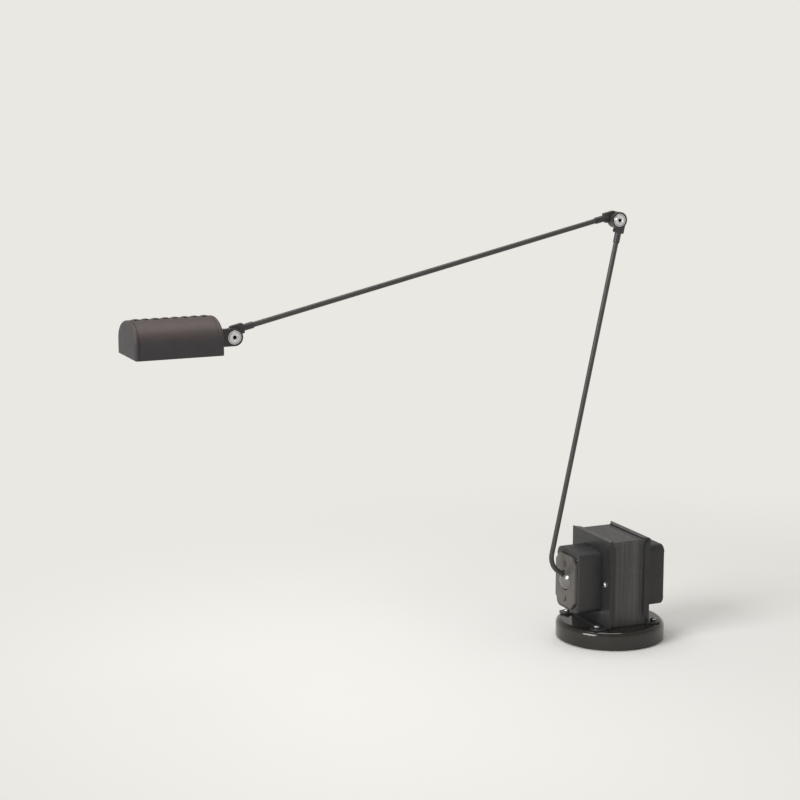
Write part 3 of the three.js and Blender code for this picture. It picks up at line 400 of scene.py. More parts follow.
@dataclass(frozen=True)
class Turned:
    """Bright aluminium off the lathe: rings round the pivot's axis, which runs along Y."""

    slot: Slot
    centre: Pair
    colour: Colour = (0.80, 0.80, 0.82)
    roughness: float = 0.24
    rings_per_metre: float = 1500.0
    ring_depth: float = 0.006 * MM
    # Painted shade: the colour goes nearly black inside this radius, in the hex socket.
    socket: Pair = (1.9 * MM, 2.15 * MM)
    # Painted shade: the colour is darkened between these radii, in the groove.
    groove: Pair = (5.3 * MM, 6.4 * MM)

    def material(self) -> bpy.types.Material:
        """Makes the turned metal's material.

        Returns:
            A material with rings in its relief and its roughness, with painted shade in the groove and in the hex
            socket.
        """
        graph = Graph(self.slot.value)
        parts = graph.add("SeparateXYZ")
        graph.join(graph.place(), parts.inputs[0])
        x = graph.math("SUBTRACT", parts.outputs["X"], self.centre[0])
        z = graph.math("SUBTRACT", parts.outputs["Z"], self.centre[1])
        squares = graph.math("ADD", graph.math("MULTIPLY", x, x), graph.math("MULTIPLY", z, z))
        distance = graph.math("SQRT", squares)
        line = graph.add("CombineXYZ")
        graph.join(distance, line.inputs[0])
        rings = graph.add("TexNoise")
        rings.inputs["Scale"].default_value = self.rings_per_metre
        rings.inputs["Detail"].default_value = 3.0
        graph.join(line.outputs[0], rings.inputs["Vector"])
        value = rings.outputs["Fac"]
        tint = graph.blend(
            graph.stretch(value, (0.3, 0.7), (0.0, 1.0)), shade(self.colour, 0.72), self.colour)
        dull = graph.stretch(graph.noise(240.0, 4.0), (0.4, 0.7), (0.0, 0.25))
        tint = graph.blend(dull, tint, shade(self.colour, 0.75))
        # Painted shade: the groove between these radii goes to about a third of the metal's colour.
        middle = sum(self.groove) / 2
        inner = graph.stretch(distance, (self.groove[0], middle), (0.0, 1.0))
        outer = graph.stretch(distance, (middle, self.groove[1]), (1.0, 0.0))
        tint = graph.blend(graph.math("MULTIPLY", inner, outer), tint, shade(self.colour, 0.35))
        # Painted shade: inside the socket's radius the colour goes nearly black.
        tint = graph.blend(graph.stretch(distance, self.socket, (1.0, 0.0)), tint, (0.008, 0.008, 0.008))
        roughness = graph.stretch(value, (0.3, 0.7), (self.roughness - 0.06, self.roughness + 0.12))
        tangent = graph.add("Tangent", direction_type="RADIAL", axis="Y")
        graph.into(
            Base_Color=tint, Roughness=roughness, Normal=graph.bump(value, self.ring_depth),
            Metallic=1.0, Anisotropic=0.4, Tangent=tangent.outputs[0],
        )
        return graph.material


@dataclass(frozen=True)
class Metal:
    """Plain bright metal: plated, drawn or polished."""

    slot: Slot
    colour: Colour
    roughness: float
    scratch: float = 900.0
    scratch_stretch: Colour = (1.0, 1.0, 1.0)
    scratch_depth: float = 0.01 * MM
    dull: float = 0.3
    spots: float = 180.0

    def material(self) -> bpy.types.Material:
        """Makes the metal's material.

        Returns:
            A metal with dull spots and fine scratches.
        """
        graph = Graph(self.slot.value)
        spots = graph.stretch(graph.noise(self.spots, 5.0), (0.35, 0.7), (0.0, self.dull))
        colour = graph.blend(spots, self.colour, shade(self.colour, 0.45))
        marks = graph.noise(self.scratch, 4.0, self.scratch_stretch)
        roughness = graph.stretch(marks, (0.3, 0.7), (self.roughness * 0.7, self.roughness * 1.4))
        graph.into(
            Base_Color=colour, Roughness=roughness, Normal=graph.bump(marks, self.scratch_depth),
            Metallic=1.0,
        )
        return graph.material


@dataclass(frozen=True)
class Wound:
    """Varnished copper wire, wound round a leg that runs along Y."""

    slot: Slot
    colour: Colour = (0.50, 0.19, 0.08)
    wires_per_metre: float = 1150.0
    wire_depth: float = 0.25 * MM

    def material(self) -> bpy.types.Material:
        """Makes the winding's material.

        Returns:
            A metal with a round ridge for each turn of wire, and painted shade between the turns.
        """
        graph = Graph(self.slot.value)
        parts = graph.add("SeparateXYZ")
        graph.join(graph.place(), parts.inputs[0])
        phase = graph.math("MULTIPLY", parts.outputs["Y"], self.wires_per_metre * math.pi)
        ridge = graph.math("ABSOLUTE", graph.math("SINE", phase))
        # Painted shade: the copper goes dark in the crease between turns, where the ridge falls away.
        colour = graph.blend(ridge, shade(self.colour, 0.25), self.colour)
        patches = graph.stretch(graph.noise(90.0, 4.0), (0.35, 0.7), (0.0, 0.5))
        colour = graph.blend(patches, colour, shade(self.colour, 0.6))
        roughness = graph.stretch(graph.noise(400.0), (0.3, 0.7), (0.22, 0.42))
        graph.into(
            Base_Color=colour, Roughness=roughness, Normal=graph.bump(ridge, self.wire_depth),
            Metallic=0.9,
        )
        return graph.material


@dataclass(frozen=True)
class Quartz:
    """Clear quartz with a faint haze."""

    slot: Slot
    colour: Colour = (0.96, 0.98, 1.0)

    def material(self) -> bpy.types.Material:
        """Makes the glass's material.

        Returns:
            A clear glass whose roughness varies a little.
        """
        graph = Graph(self.slot.value)
        haze = graph.stretch(graph.noise(300.0, 4.0), (0.4, 0.8), (0.01, 0.12))
        tint = graph.blend(graph.noise(120.0), self.colour, shade(self.colour, 0.93))
        graph.into(
            Base_Color=tint, Roughness=haze, Normal=graph.bump(graph.noise(500.0), 0.01 * MM),
            Transmission_Weight=1.0, IOR=1.46,
        )
        return graph.material


class Finishes:
    """The lamp's finishes, each made once and lent out by slot."""

    def __init__(self, pivots: dict[str, Pair]) -> None:
        """Makes every finish.

        Args:
            pivots: the (x, z) centre of each bright pivot screw, by name.
        """
        black = (0.032, 0.031, 0.032)
        coats = [
            Coated(Slot.BASE_ENAMEL, (0.019, 0.016, 0.014), 0.12, grain_depth=0.003 * MM, wave=220.0,
                   wave_depth=0.03 * MM, specular=0.5, roughness_spread=0.04, wear=0.2,
                   wear_colour=(0.08, 0.075, 0.07)),
            Coated(Slot.RUBBER, (0.014, 0.014, 0.014), 0.85, grain=1400.0, grain_depth=0.06 * MM),
            Coated(Slot.FRAME_BLACK, (0.024, 0.024, 0.025), 0.32, spread=0.12, grain=1800.0,
                   grain_depth=0.012 * MM, wear=0.5, wear_colour=(0.12, 0.12, 0.12), specular=0.3),
            Coated(Slot.COVER_PLASTIC, (0.031, 0.030, 0.031), 0.48, specular=0.35, spread=0.10, grain=2200.0,
                   grain_depth=0.05 * MM, wear=0.25, wear_colour=(0.08, 0.08, 0.08)),
            Coated(Slot.ROCKER_PLASTIC, (0.078, 0.071, 0.065), 0.34, specular=0.4, spread=0.08, grain=2400.0,
                   grain_depth=0.03 * MM, wear=0.5, wear_colour=(0.33, 0.31, 0.29),
                   wear_radius=0.8 * MM),
            Coated(Slot.BALL_METAL, (0.200, 0.195, 0.190), 0.22, spread=0.10, grain_depth=0.004 * MM,
                   metallic=0.7),
            Coated(Slot.JOINT_BLACK, black, 0.36, specular=0.35, spread=0.2, grain=1500.0, grain_depth=0.03 * MM,
                   wear=0.4, wear_colour=(0.14, 0.14, 0.14)),
            Coated(Slot.ARM_BLACK, (0.042, 0.040, 0.038), 0.38, specular=0.4, spread=0.12, mottle=90.0,
                   grain_depth=0.015 * MM, wear=0.2, wear_colour=(0.2, 0.2, 0.2)),
            # Hood paint with painted top light: its upward faces are lighter and browner, as if lit from above.
            Coated(Slot.HOOD_PAINT, (0.030, 0.027, 0.030), 0.56, specular=0.35, spread=0.14, mottle=110.0, grain=1300.0,
                   grain_depth=0.07 * MM, wear=0.5, wear_colour=(0.10, 0.095, 0.095),
                   wear_radius=0.8 * MM, painted_top_light=(0.062, 0.046, 0.043)),
            Coated(Slot.CREAM_PLASTIC, (0.62, 0.56, 0.43), 0.45, grain=1200.0, grain_depth=0.03 * MM),
            Coated(Slot.CERAMIC, (0.80, 0.78, 0.72), 0.30, coat=0.8, coat_roughness=0.1,
                   grain=900.0, grain_depth=0.02 * MM),
        ]
        others = [
            Laminated(Slot.CORE_STEEL, (0.074, 0.072, 0.071), (0.030, 0.030, 0.031), metallic=0.3),
            Metal(Slot.SCREW_STEEL, (0.42, 0.42, 0.43), 0.22),
            Metal(Slot.REFLECTOR_METAL, (0.88, 0.88, 0.89), 0.14, scratch_stretch=(0.04, 1.0, 1.0)),
            Wound(Slot.COPPER_WIRE),
            Quartz(Slot.BULB_GLASS),
        ]
        self.made = {finish.slot: finish.material() for finish in [*coats, *others]}
        self.turned = {
            name: Turned(Slot.TURNED_METAL, centre).material() for name, centre in pivots.items()
        }
        self.ink = Coated(Slot.COVER_PLASTIC, (0.008, 0.007, 0.007), 0.55, specular=0.2).material()
        self.blackened = Metal(Slot.SCREW_STEEL, (0.10, 0.10, 0.10), 0.3).material()

    def of(self, slot: Slot) -> bpy.types.Material:
        """The material of a slot."""
        return self.made[slot]


# ------------------------------------------------------------------------------------ workshop


def skin(bm: bmesh.types.BMesh, rings: Sequence[Sequence[bmesh.types.BMVert]], closed: bool = True) -> None:
    """Joins each ring of points to the next with faces.

    Args:
        bm: the mesh being made.
        rings: rings with equal numbers of points.
        closed: whether each ring comes back to its start.
    """
    for near, far in zip(rings, rings[1:]):
        count = len(near)
        for i in range(count if closed else count - 1):
            j = (i + 1) % count
            corners = [near[i], near[j], far[j], far[i]]
            if len(set(corners)) > 2:
                bm.faces.new(list(dict.fromkeys(corners)))


def circle(radius: float, count: int, middle: Pair = (0.0, 0.0), start: float = 0.0) -> list[Pair]:
    """The corners of a round outline.

    Args:
        radius: its radius.
        count: how many corners it has.
        middle: its centre.
        start: the angle of its first corner.

    Returns:
        The corners, in order.
    """
    angles = [start + math.tau * i / count for i in range(count)]
    return [(middle[0] + radius * math.cos(t), middle[1] + radius * math.sin(t)) for t in angles]


def rounded(low: Pair, high: Pair, radius: float, steps: int = 8) -> list[Pair]:
    """A rectangle with round corners.

    Args:
        low: its lowest corner.
        high: its highest corner.
        radius: the radius of its corners.
        steps: how many straight steps each corner takes.

    Returns:
        The outline's points, in order.
    """
    points = []
    middles = [(high[0] - radius, low[1] + radius), (high[0] - radius, high[1] - radius),
               (low[0] + radius, high[1] - radius), (low[0] + radius, low[1] + radius)]
    for quarter, (a, b) in enumerate(middles):
        for i in range(steps + 1):
            angle = (quarter - 1 + i / steps) * math.pi / 2
            points.append((a + radius * math.cos(angle), b + radius * math.sin(angle)))
    return points


def chamfered(low: Pair, high: Pair, cut: float) -> list[Pair]:
    """A rectangle with its corners cut at 45 degrees."""
    (a, b), (c, d) = low, high
    return [(a + cut, b), (c - cut, b), (c, b + cut), (c, d - cut),
            (c - cut, d), (a + cut, d), (a, d - cut), (a, b + cut)]


class Stock:
    """A closed solid on the bench, which is joined to others, cut and softened."""

    def __init__(self, mesh: bpy.types.Mesh) -> None:
        """Takes a closed mesh."""
        self.mesh = mesh

    @classmethod
    def of(cls, bm: bmesh.types.BMesh) -> Stock:
        """Turns a mesh under construction into stock, with its faces turned outwards."""
        bmesh.ops.remove_doubles(bm, verts=bm.verts, dist=1e-7)
        bmesh.ops.recalc_face_normals(bm, faces=bm.faces)
        if bm.calc_volume(signed=True) < 0:
            bmesh.ops.reverse_faces(bm, faces=bm.faces)
        mesh = bpy.data.meshes.new("stock")
        bm.to_mesh(mesh)
        bm.free()
        return cls(mesh)

    @classmethod
    def prism(cls, outline: Sequence[Pair], axis: Axis, start: float, end: float) -> Stock:
        """An outline drawn out along an axis.

        Args:
            outline: the outline's points, in order.
            axis: the axis that it stands across.
            start: where it starts on the axis.
            end: where it ends.

        Returns:
            The solid.
        """
        bm = bmesh.new()
        rings = [[bm.verts.new(axis.point(a, b, station)) for a, b in outline] for station in (start, end)]
        for ring in rings:
            bm.faces.new(ring)
        skin(bm, rings)
        return cls.of(bm)

    @classmethod
    def block(cls, low: Sequence[float], high: Sequence[float]) -> Stock:
        """A box between two corners."""
        outline = [(low[0], low[1]), (high[0], low[1]), (high[0], high[1]), (low[0], high[1])]
        return cls.prism(outline, Axis.Z, low[2], high[2])

    @classmethod
    def bar(cls, axis: Axis, start: float, end: float, radius: float, at: Pair, count: int = 40) -> Stock:
        """A round bar along an axis.

        Args:
            axis: the bar's axis.
            start: where it starts.
            end: where it ends.
            radius: its radius.
            at: its place on the other two axes.
            count: how many sides it has.

        Returns:
            The solid.
        """
        return cls.prism(circle(radius, count, at), axis, start, end)

    @classmethod
    def turned(cls, profile: Sequence[Pair], axis: Axis, at: Pair = (0.0, 0.0), count: int = 64) -> Stock:
        """A solid of revolution.

        Args:
            profile: (radius, station) points; it closes on itself or ends on the axis.
            axis: the axis that it turns about.
            at: the axis's place on the other two axes.
            count: how many sides it has.

        Returns:
            The solid.
        """
        bm = bmesh.new()
        rings = []
        for radius, station in profile:
            if radius < 1e-9:
                rings.append([bm.verts.new(axis.point(*at, station))] * count)
            else:
                rings.append([bm.verts.new(axis.point(a, b, station)) for a, b in circle(radius, count, at)])
        if profile[0][0] > 1e-9:
            rings.append(rings[0])
        skin(bm, rings)
        return cls.of(bm)

    @classmethod
    def tube(cls, path: Sequence[Vector], radius: float, bore: float, count: int = 32) -> Stock:
        """A tube along a path in the X-Z plane, closed at its ends.

        Args:
            path: the points of its centre line.
            radius: its outer radius.
            bore: its inner radius, or 0 for a solid rod.
            count: how many sides it has.

        Returns:
            The solid.
        """
        bm = bmesh.new()
        outer, inner = [], []
        for i, point in enumerate(path):
            before, after = path[max(i - 1, 0)], path[min(i + 1, len(path) - 1)]
            along = (after - before).normalized()
            across = Vector((along.z, 0.0, -along.x))
            for rings, size in ((outer, radius), (inner, bore)):
                rings.append([
                    bm.verts.new(point + across * a + Vector((0.0, b, 0.0))) for a, b in circle(size, count)
                ] if size > 0 else [])
        if bore > 0:
            skin(bm, [*outer, *reversed(inner), outer[0]])
        else:
            skin(bm, outer)
            bm.faces.new(outer[0])
            bm.faces.new(outer[-1])
        return cls.of(bm)

    @classmethod
    def ball(cls, centre: Vector, radius: float, count: int = 64) -> Stock:
        """A ball with its poles along Z."""
        steps = count // 2
        profile = [(radius * math.sin(math.pi * i / steps), centre.z - radius * math.cos(math.pi * i / steps))
                   for i in range(steps + 1)]
        profile[0] = (0.0, profile[0][1])
        profile[-1] = (0.0, profile[-1][1])
        return cls.turned(profile, Axis.Z, (centre.x, centre.y), count)

    def _combine(self, operation: str, others: Iterable[Stock]) -> Stock:
        """Joins, cuts or meets this solid with others.

        Args:
            operation: UNION, DIFFERENCE or INTERSECT.
            others: the other solids.

        Returns:
            The result.
        """
        scene = bpy.context.scene.collection.objects
        body = bpy.data.objects.new("body", self.mesh)
        scene.link(body)
        tools = []
        for other in others:
            tool = bpy.data.objects.new("tool", other.mesh)
            scene.link(tool)
            tools.append(tool)
            step = body.modifiers.new("step", "BOOLEAN")
            step.operation = operation
            step.solver = "MANIFOLD"
            step.object = tool
        graph = bpy.context.evaluated_depsgraph_get()
        mesh = bpy.data.meshes.new_from_object(body.evaluated_get(graph))
        for thing in (body, *tools):
            bpy.data.objects.remove(thing)
        return Stock(mesh)

    def join(self, *others: Stock) -> Stock:
        """This solid with others joined on."""
        return self._combine("UNION", others)

    def cut(self, *others: Stock) -> Stock:
        """This solid with others cut out of it."""
        return self._combine("DIFFERENCE", others)

    def meet(self, *others: Stock) -> Stock:
        """What this solid shares with others."""
        return self._combine("INTERSECT", others)

    def placed(self, matrix: Matrix) -> Stock:
        """This solid moved by a matrix."""
        self.mesh.transform(matrix)
        return self

    def released(self, name: str, soften: float = 0.0, steps: int = 2, crease: float = 32.0) -> bpy.types.Object:
        """Takes the solid off the bench as a finished object.

        Args:
            name: the piece's name.
            soften: how far its sharp edges are rounded.
            steps: how many steps each rounding takes.
            crease: the angle, in degrees, above which an edge is sharp.

        Returns:
            The object.
        """
        bm = bmesh.new()
        bm.from_mesh(self.mesh)
        bmesh.ops.remove_doubles(bm, verts=bm.verts, dist=1e-6)
        bmesh.ops.dissolve_degenerate(bm, edges=bm.edges, dist=1e-6)
        bmesh.ops.dissolve_limit(bm, angle_limit=math.radians(0.3), verts=bm.verts, edges=bm.edges)
        bm.to_mesh(self.mesh)
        bm.free()
        self.mesh.name = name
        for polygon in self.mesh.polygons:
            polygon.use_smooth = True
        self.mesh.set_sharp_from_angle(angle=math.radians(crease))
        piece = bpy.data.objects.new(name, self.mesh)
        bpy.context.scene.collection.objects.link(piece)
        if soften > 0:
            rounding = piece.modifiers.new("rounding", "BEVEL")
            rounding.width = soften
            rounding.segments = steps
            rounding.limit_method = "ANGLE"
            rounding.angle_limit = math.radians(crease)
            rounding.use_clamp_overlap = True
            rounding.harden_normals = True
        return piece


class Bench:
    """Where pieces get their finish, their body and the nodes that they stand for."""

    def __init__(self, finishes: Finishes) -> None:
        """Takes the lamp's finishes."""
        self.finishes = finishes

    def fit(self, piece: bpy.types.Object, body: Body, slot: Slot, *nodes: str,
            material: bpy.types.Material | None = None) -> bpy.types.Object:
        """Dresses a piece and makes it ride on its body.

        Args:
            piece: the piece, in its place.
            body: the body that it moves with.
            slot: the finish that it has.
            *nodes: the plain nodes that it stands for.
            material: a material other than the slot's own.

        Returns:
            The piece.
        """
        piece.data.materials.clear()
        piece.data.materials.append(material or self.finishes.of(slot))
        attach(piece, body.value)
        if nodes:
            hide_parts(*nodes)
        LOG.info("%s rides on %s in %s", piece.name, body.value, slot.value)
        return piece

    def dress(self, slot: Slot, *nodes: str) -> None:
        """Gives carried-over nodes a finish.

        Args:
            slot: the finish.
            *nodes: the nodes that have it.
        """
        for name in nodes:
            node = frame["nodes"][name]
            node.data.materials.clear()
            node.data.materials.append(self.finishes.of(slot))
            LOG.info("%s keeps its shape, in %s", name, slot.value)


def joint_place(name: str) -> Vector:
    """The place of a joint, from the frame."""
    found = next(joint for joint in frame["joints"] if joint["name"] == name)
    return Vector(found["pos_m"])


def middle_of(node: str) -> Vector:
    """The middle of a node's box."""
    low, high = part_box(node)
    return (low + high) / 2


# ----------------------------------------------------------------------------------- fasteners


class Drive(Enum):
    """The recess in a screw's head."""

    CROSS = "cross"
    HEXAGON = "hexagon"


@dataclass(frozen=True)
class PanScrew:
    """A pan-head screw, which points away from its head along an axis."""

    head_radius: float
    head_height: float
    shank_radius: float
    length: float
    drive: Drive = Drive.CROSS

    def stock(self, axis: Axis, seat: float, outward: float, at: Pair) -> Stock:
        """Shapes the screw.

        Args:
            axis: the screw's axis.
            seat: where the underside of its head is.
            outward: 1 where the head faces up the axis, or -1.
            at: its place on the other two axes.

        Returns:
            The solid.
        """
        r, h = self.head_radius, self.head_height
        profile = [(0.0, -self.length), (self.shank_radius * 0.8, -self.length),
                   (self.shank_radius, -self.length + 0.6 * MM), (self.shank_radius, 0.0), (r * 0.94, 0.0)]
        steps = 8
        for i in range(steps + 1):
            angle = math.pi / 2 * i / steps
            profile.append((r * (0.62 + 0.38 * math.cos(angle)), h * (0.25 + 0.75 * math.sin(angle))))
        profile.append((0.0, h))
        body = Stock.turned([(a, seat + outward * b) for a, b in profile], axis, at, 32)
        top, floor = seat + outward * (h + 0.2 * MM), seat + outward * h * 0.35
        start, end = min(top, floor), max(top, floor)
        if self.drive is Drive.HEXAGON:
            return body.cut(Stock.prism(circle(r * 0.5, 6, at), axis, start, end))
        arm, half = r * 0.62, r * 0.13
        slots = [[(-arm, -half), (arm, -half), (arm, half), (-arm, half)],
                 [(-half, -arm), (half, -arm), (half, arm), (-half, arm)]]
        return body.cut(*[
            Stock.prism([(at[0] + a, at[1] + b) for a, b in slot], axis, start, end) for slot in slots
        ])


@dataclass(frozen=True)
class HexNut:
    """A hexagon nut with rounded corners and a countersunk bore."""

    across: float
    thick: float
    bore: float

    def stock(self, axis: Axis, start: float, at: Pair, turn: float = 0.0) -> Stock:
        """Shapes the nut.

        Args:
            axis: its axis.
            start: where it starts on the axis.
            at: its place on the other two axes.
            turn: the angle of its first corner.

        Returns:
            The solid.
        """
        corner = self.across / 2 / math.cos(math.pi / 6)
        end = start + self.thick
        body = Stock.prism(circle(corner, 6, at, turn), axis, start, end)
        lip = 0.35 * MM
        crown = Stock.turned([(0.0, start), (corner - lip, start), (corner + lip, start + lip * 1.2),
                              (corner + lip, end - lip * 1.2), (corner - lip, end), (0.0, end)],
                             axis, at, 48)
        sink = [(0.0, start - MM), (self.bore, start - MM), (self.bore, end - lip),
                (self.bore + lip * 2, end + lip), (0.0, end + lip)]
        return body.meet(crown).cut(Stock.turned(sink, axis, at, 32))


def shank_bores(axis: Axis, radius: float, *nodes: str) -> list[Stock]:
    """The tools that bore a way for screws and bolts.

    Args:
        axis: the axis that the screws run along.
        radius: the radius of each bore.
        *nodes: the screws.

    Returns:
        One bar along each screw, a little longer than it is.
    """
    over = 0.2 * MM
    bores = []
    for node in nodes:
        low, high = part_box(node)
        at = [value for i, value in enumerate((low + high) / 2) if i != axis.value]
        bores.append(Stock.bar(axis, low[axis.value] - over, high[axis.value] + over, radius, tuple(at), 32))
    return bores


CORE_BOLTS = ("core_bolt_front", "core_bolt_back")
FOOT_SCREWS = tuple(f"foot_screw_{end}_{face}" for end in ("switch_side", "mains_side")
                    for face in ("front", "back"))
LUG_SCREWS = ("lug_screw_low", "lug_screw_high")


# ---------------------------------------------------------------------------------- the base


@dataclass
class Weight:
    """The turned iron weight and the rubber pad under it."""

    shoulder: float = 6.5 * MM
    foot_edge: float = 1.0 * MM
    pad_clear: float = 0.3 * MM
    screw_bore: float = 2.3 * MM
    sides: int = 160

    def profile(self) -> list[Pair]:
        """The weight's half section: recess, foot, straight side and round shoulder.

        Returns:
            Its (radius, height) points.
        """
        low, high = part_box("base_weight")
        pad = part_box("base_pad")[1]
        radius, top, foot = high.x, high.z, low.z
        recess = pad.x + self.pad_clear
        points = [(0.0, pad.z + self.pad_clear), (recess, pad.z + self.pad_clear), (recess, foot),
                  (radius - self.foot_edge, foot)]
        for i in range(1, 7):
            angle = math.pi / 2 * i / 6
            points.append((radius - self.foot_edge * (1 - math.sin(angle)),
                           foot + self.foot_edge * (1 - math.cos(angle))))
        steps = 18
        for i in range(steps + 1):
            angle = math.pi / 2 * i / steps
            points.append((radius - self.shoulder * (1 - math.cos(angle)),
                           top - self.shoulder * (1 - math.sin(angle))))
        return [*points, (0.0, top)]

    def build(self, bench: Bench) -> None:
        """Makes the weight and its pad."""
        bores = shank_bores(Axis.Z, self.screw_bore, *FOOT_SCREWS)
        weight = Stock.turned(self.profile(), Axis.Z, count=self.sides).cut(*bores).released("iron_weight")
        bench.fit(weight, Body.BASE, Slot.BASE_ENAMEL, "base_weight")
        low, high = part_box("base_pad")
        rim = 0.4 * MM
        pad = [(0.0, low.z), (high.x - rim, low.z), (high.x, low.z + rim), (high.x, high.z), (0.0, high.z)]
        bench.fit(Stock.turned(pad, Axis.Z, count=self.sides).released("rubber_pad"),
                  Body.BASE, Slot.RUBBER, "base_pad")


@dataclass
class Core:
    """The stack of laminations, one thin sheet after another along X, with its two windows."""

    leg: float = 16.0 * MM
    window: float = 16.0 * MM
    sheet: float = 0.5 * MM
    groove: float = 0.09 * MM
    stagger: float = 0.05 * MM
    bolt_bore: float = 2.3 * MM

    def lines(self) -> tuple[list[float], list[float]]:
        """The stations in Y and Z where the outline or a window turns.

        Returns:
            The Y stations and the Z stations, from low to high.
        """
        low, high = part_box("transformer_core")
        middle = (low.z + high.z) / 2
        across = [low.y, low.y + self.leg, high.y - self.leg, high.y]
        up = [low.z, middle - self.leg - self.window, middle - self.leg,
              middle + self.leg, middle + self.leg + self.window, high.z]
        return across, up

    def boundary(self, inset: float) -> list[list[Pair]]:
        """The loops round the sheet: its outline, and each window.

        Args:
            inset: how far the outline is drawn in.

        Returns:
            The outline's points, then each window's.
        """
        ys, zs = self.lines()
        low_y, high_y, low_z, high_z = ys[0] + inset, ys[-1] - inset, zs[0] + inset, zs[-1] - inset
        outer = [(y, low_z) for y in (low_y, ys[1], ys[2], high_y)]
        outer += [(high_y, z) for z in zs[1:-1]]
        outer += [(y, high_z) for y in (high_y, ys[2], ys[1], low_y)]
        outer += [(low_y, z) for z in reversed(zs[1:-1])]
        windows = [[(ys[1], a), (ys[2], a), (ys[2], b), (ys[1], b)] for a, b in ((zs[1], zs[2]), (zs[3], zs[4]))]
        return [outer, *windows]

    def build(self, bench: Bench) -> None:
        """Makes the stack: flat edges with a fine groove between one sheet and the next."""
        low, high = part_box("transformer_core")
        rng = random.Random(96)
        count = round((high.x - low.x) / self.sheet)
        stations: list[Pair] = []
        for i in range(count):
            start = low.x + (high.x - low.x) * i / count
            inset = rng.uniform(0.0, self.stagger)
            stations += [(start, inset + self.groove), (start + self.groove, inset),
                         (start + self.sheet - self.groove, inset)]
        stations.append((high.x, 0.0))
        bm = bmesh.new()
        chains: list[list[list[bmesh.types.BMVert]]] = [[], [], []]
        for x, inset in stations:
            for chain, loop in zip(chains, self.boundary(inset)):
                chain.append([bm.verts.new((x, y, z)) for y, z in loop])
        for chain in chains:
            skin(bm, chain)
        for end in (0, -1):
            self._cap(bm, [chain[end] for chain in chains])
        bores = shank_bores(Axis.X, self.bolt_bore, *CORE_BOLTS)
        core = Stock.of(bm).cut(*bores).released("lamination_stack", crease=50.0)
        bench.fit(core, Body.BASE, Slot.CORE_STEEL, "transformer_core")
        windings = ("primary_winding", "secondary_winding")
        bench.dress(Slot.COPPER_WIRE, *windings)
        bench.dress(Slot.CREAM_PLASTIC, "bobbin", "terminal_block")

    @staticmethod
    def _cap(bm: bmesh.types.BMesh, loops: list[list[bmesh.types.BMVert]]) -> None:
        """Closes one end of the stack, leaving the windows open.

        Args:
            bm: the mesh being made.
            loops: the outline's corners and each window's at that end.
        """
        outer, lower, upper = loops
        west = [outer[0], *reversed(outer[12:]), outer[11]]
        left_leg = [outer[1], lower[0], lower[3], upper[0], upper[3], outer[10]]
        right_leg = [outer[2], lower[1], lower[2], upper[1], upper[2], outer[9]]
        east = outer[3:9]
        for near, far in ((west, left_leg), (right_leg, east)):
            for i in range(len(near) - 1):
                bm.faces.new([near[i], far[i], far[i + 1], near[i + 1]])
        for i in (0, 2, 4):
            bm.faces.new([left_leg[i], right_leg[i], right_leg[i + 1], left_leg[i + 1]])


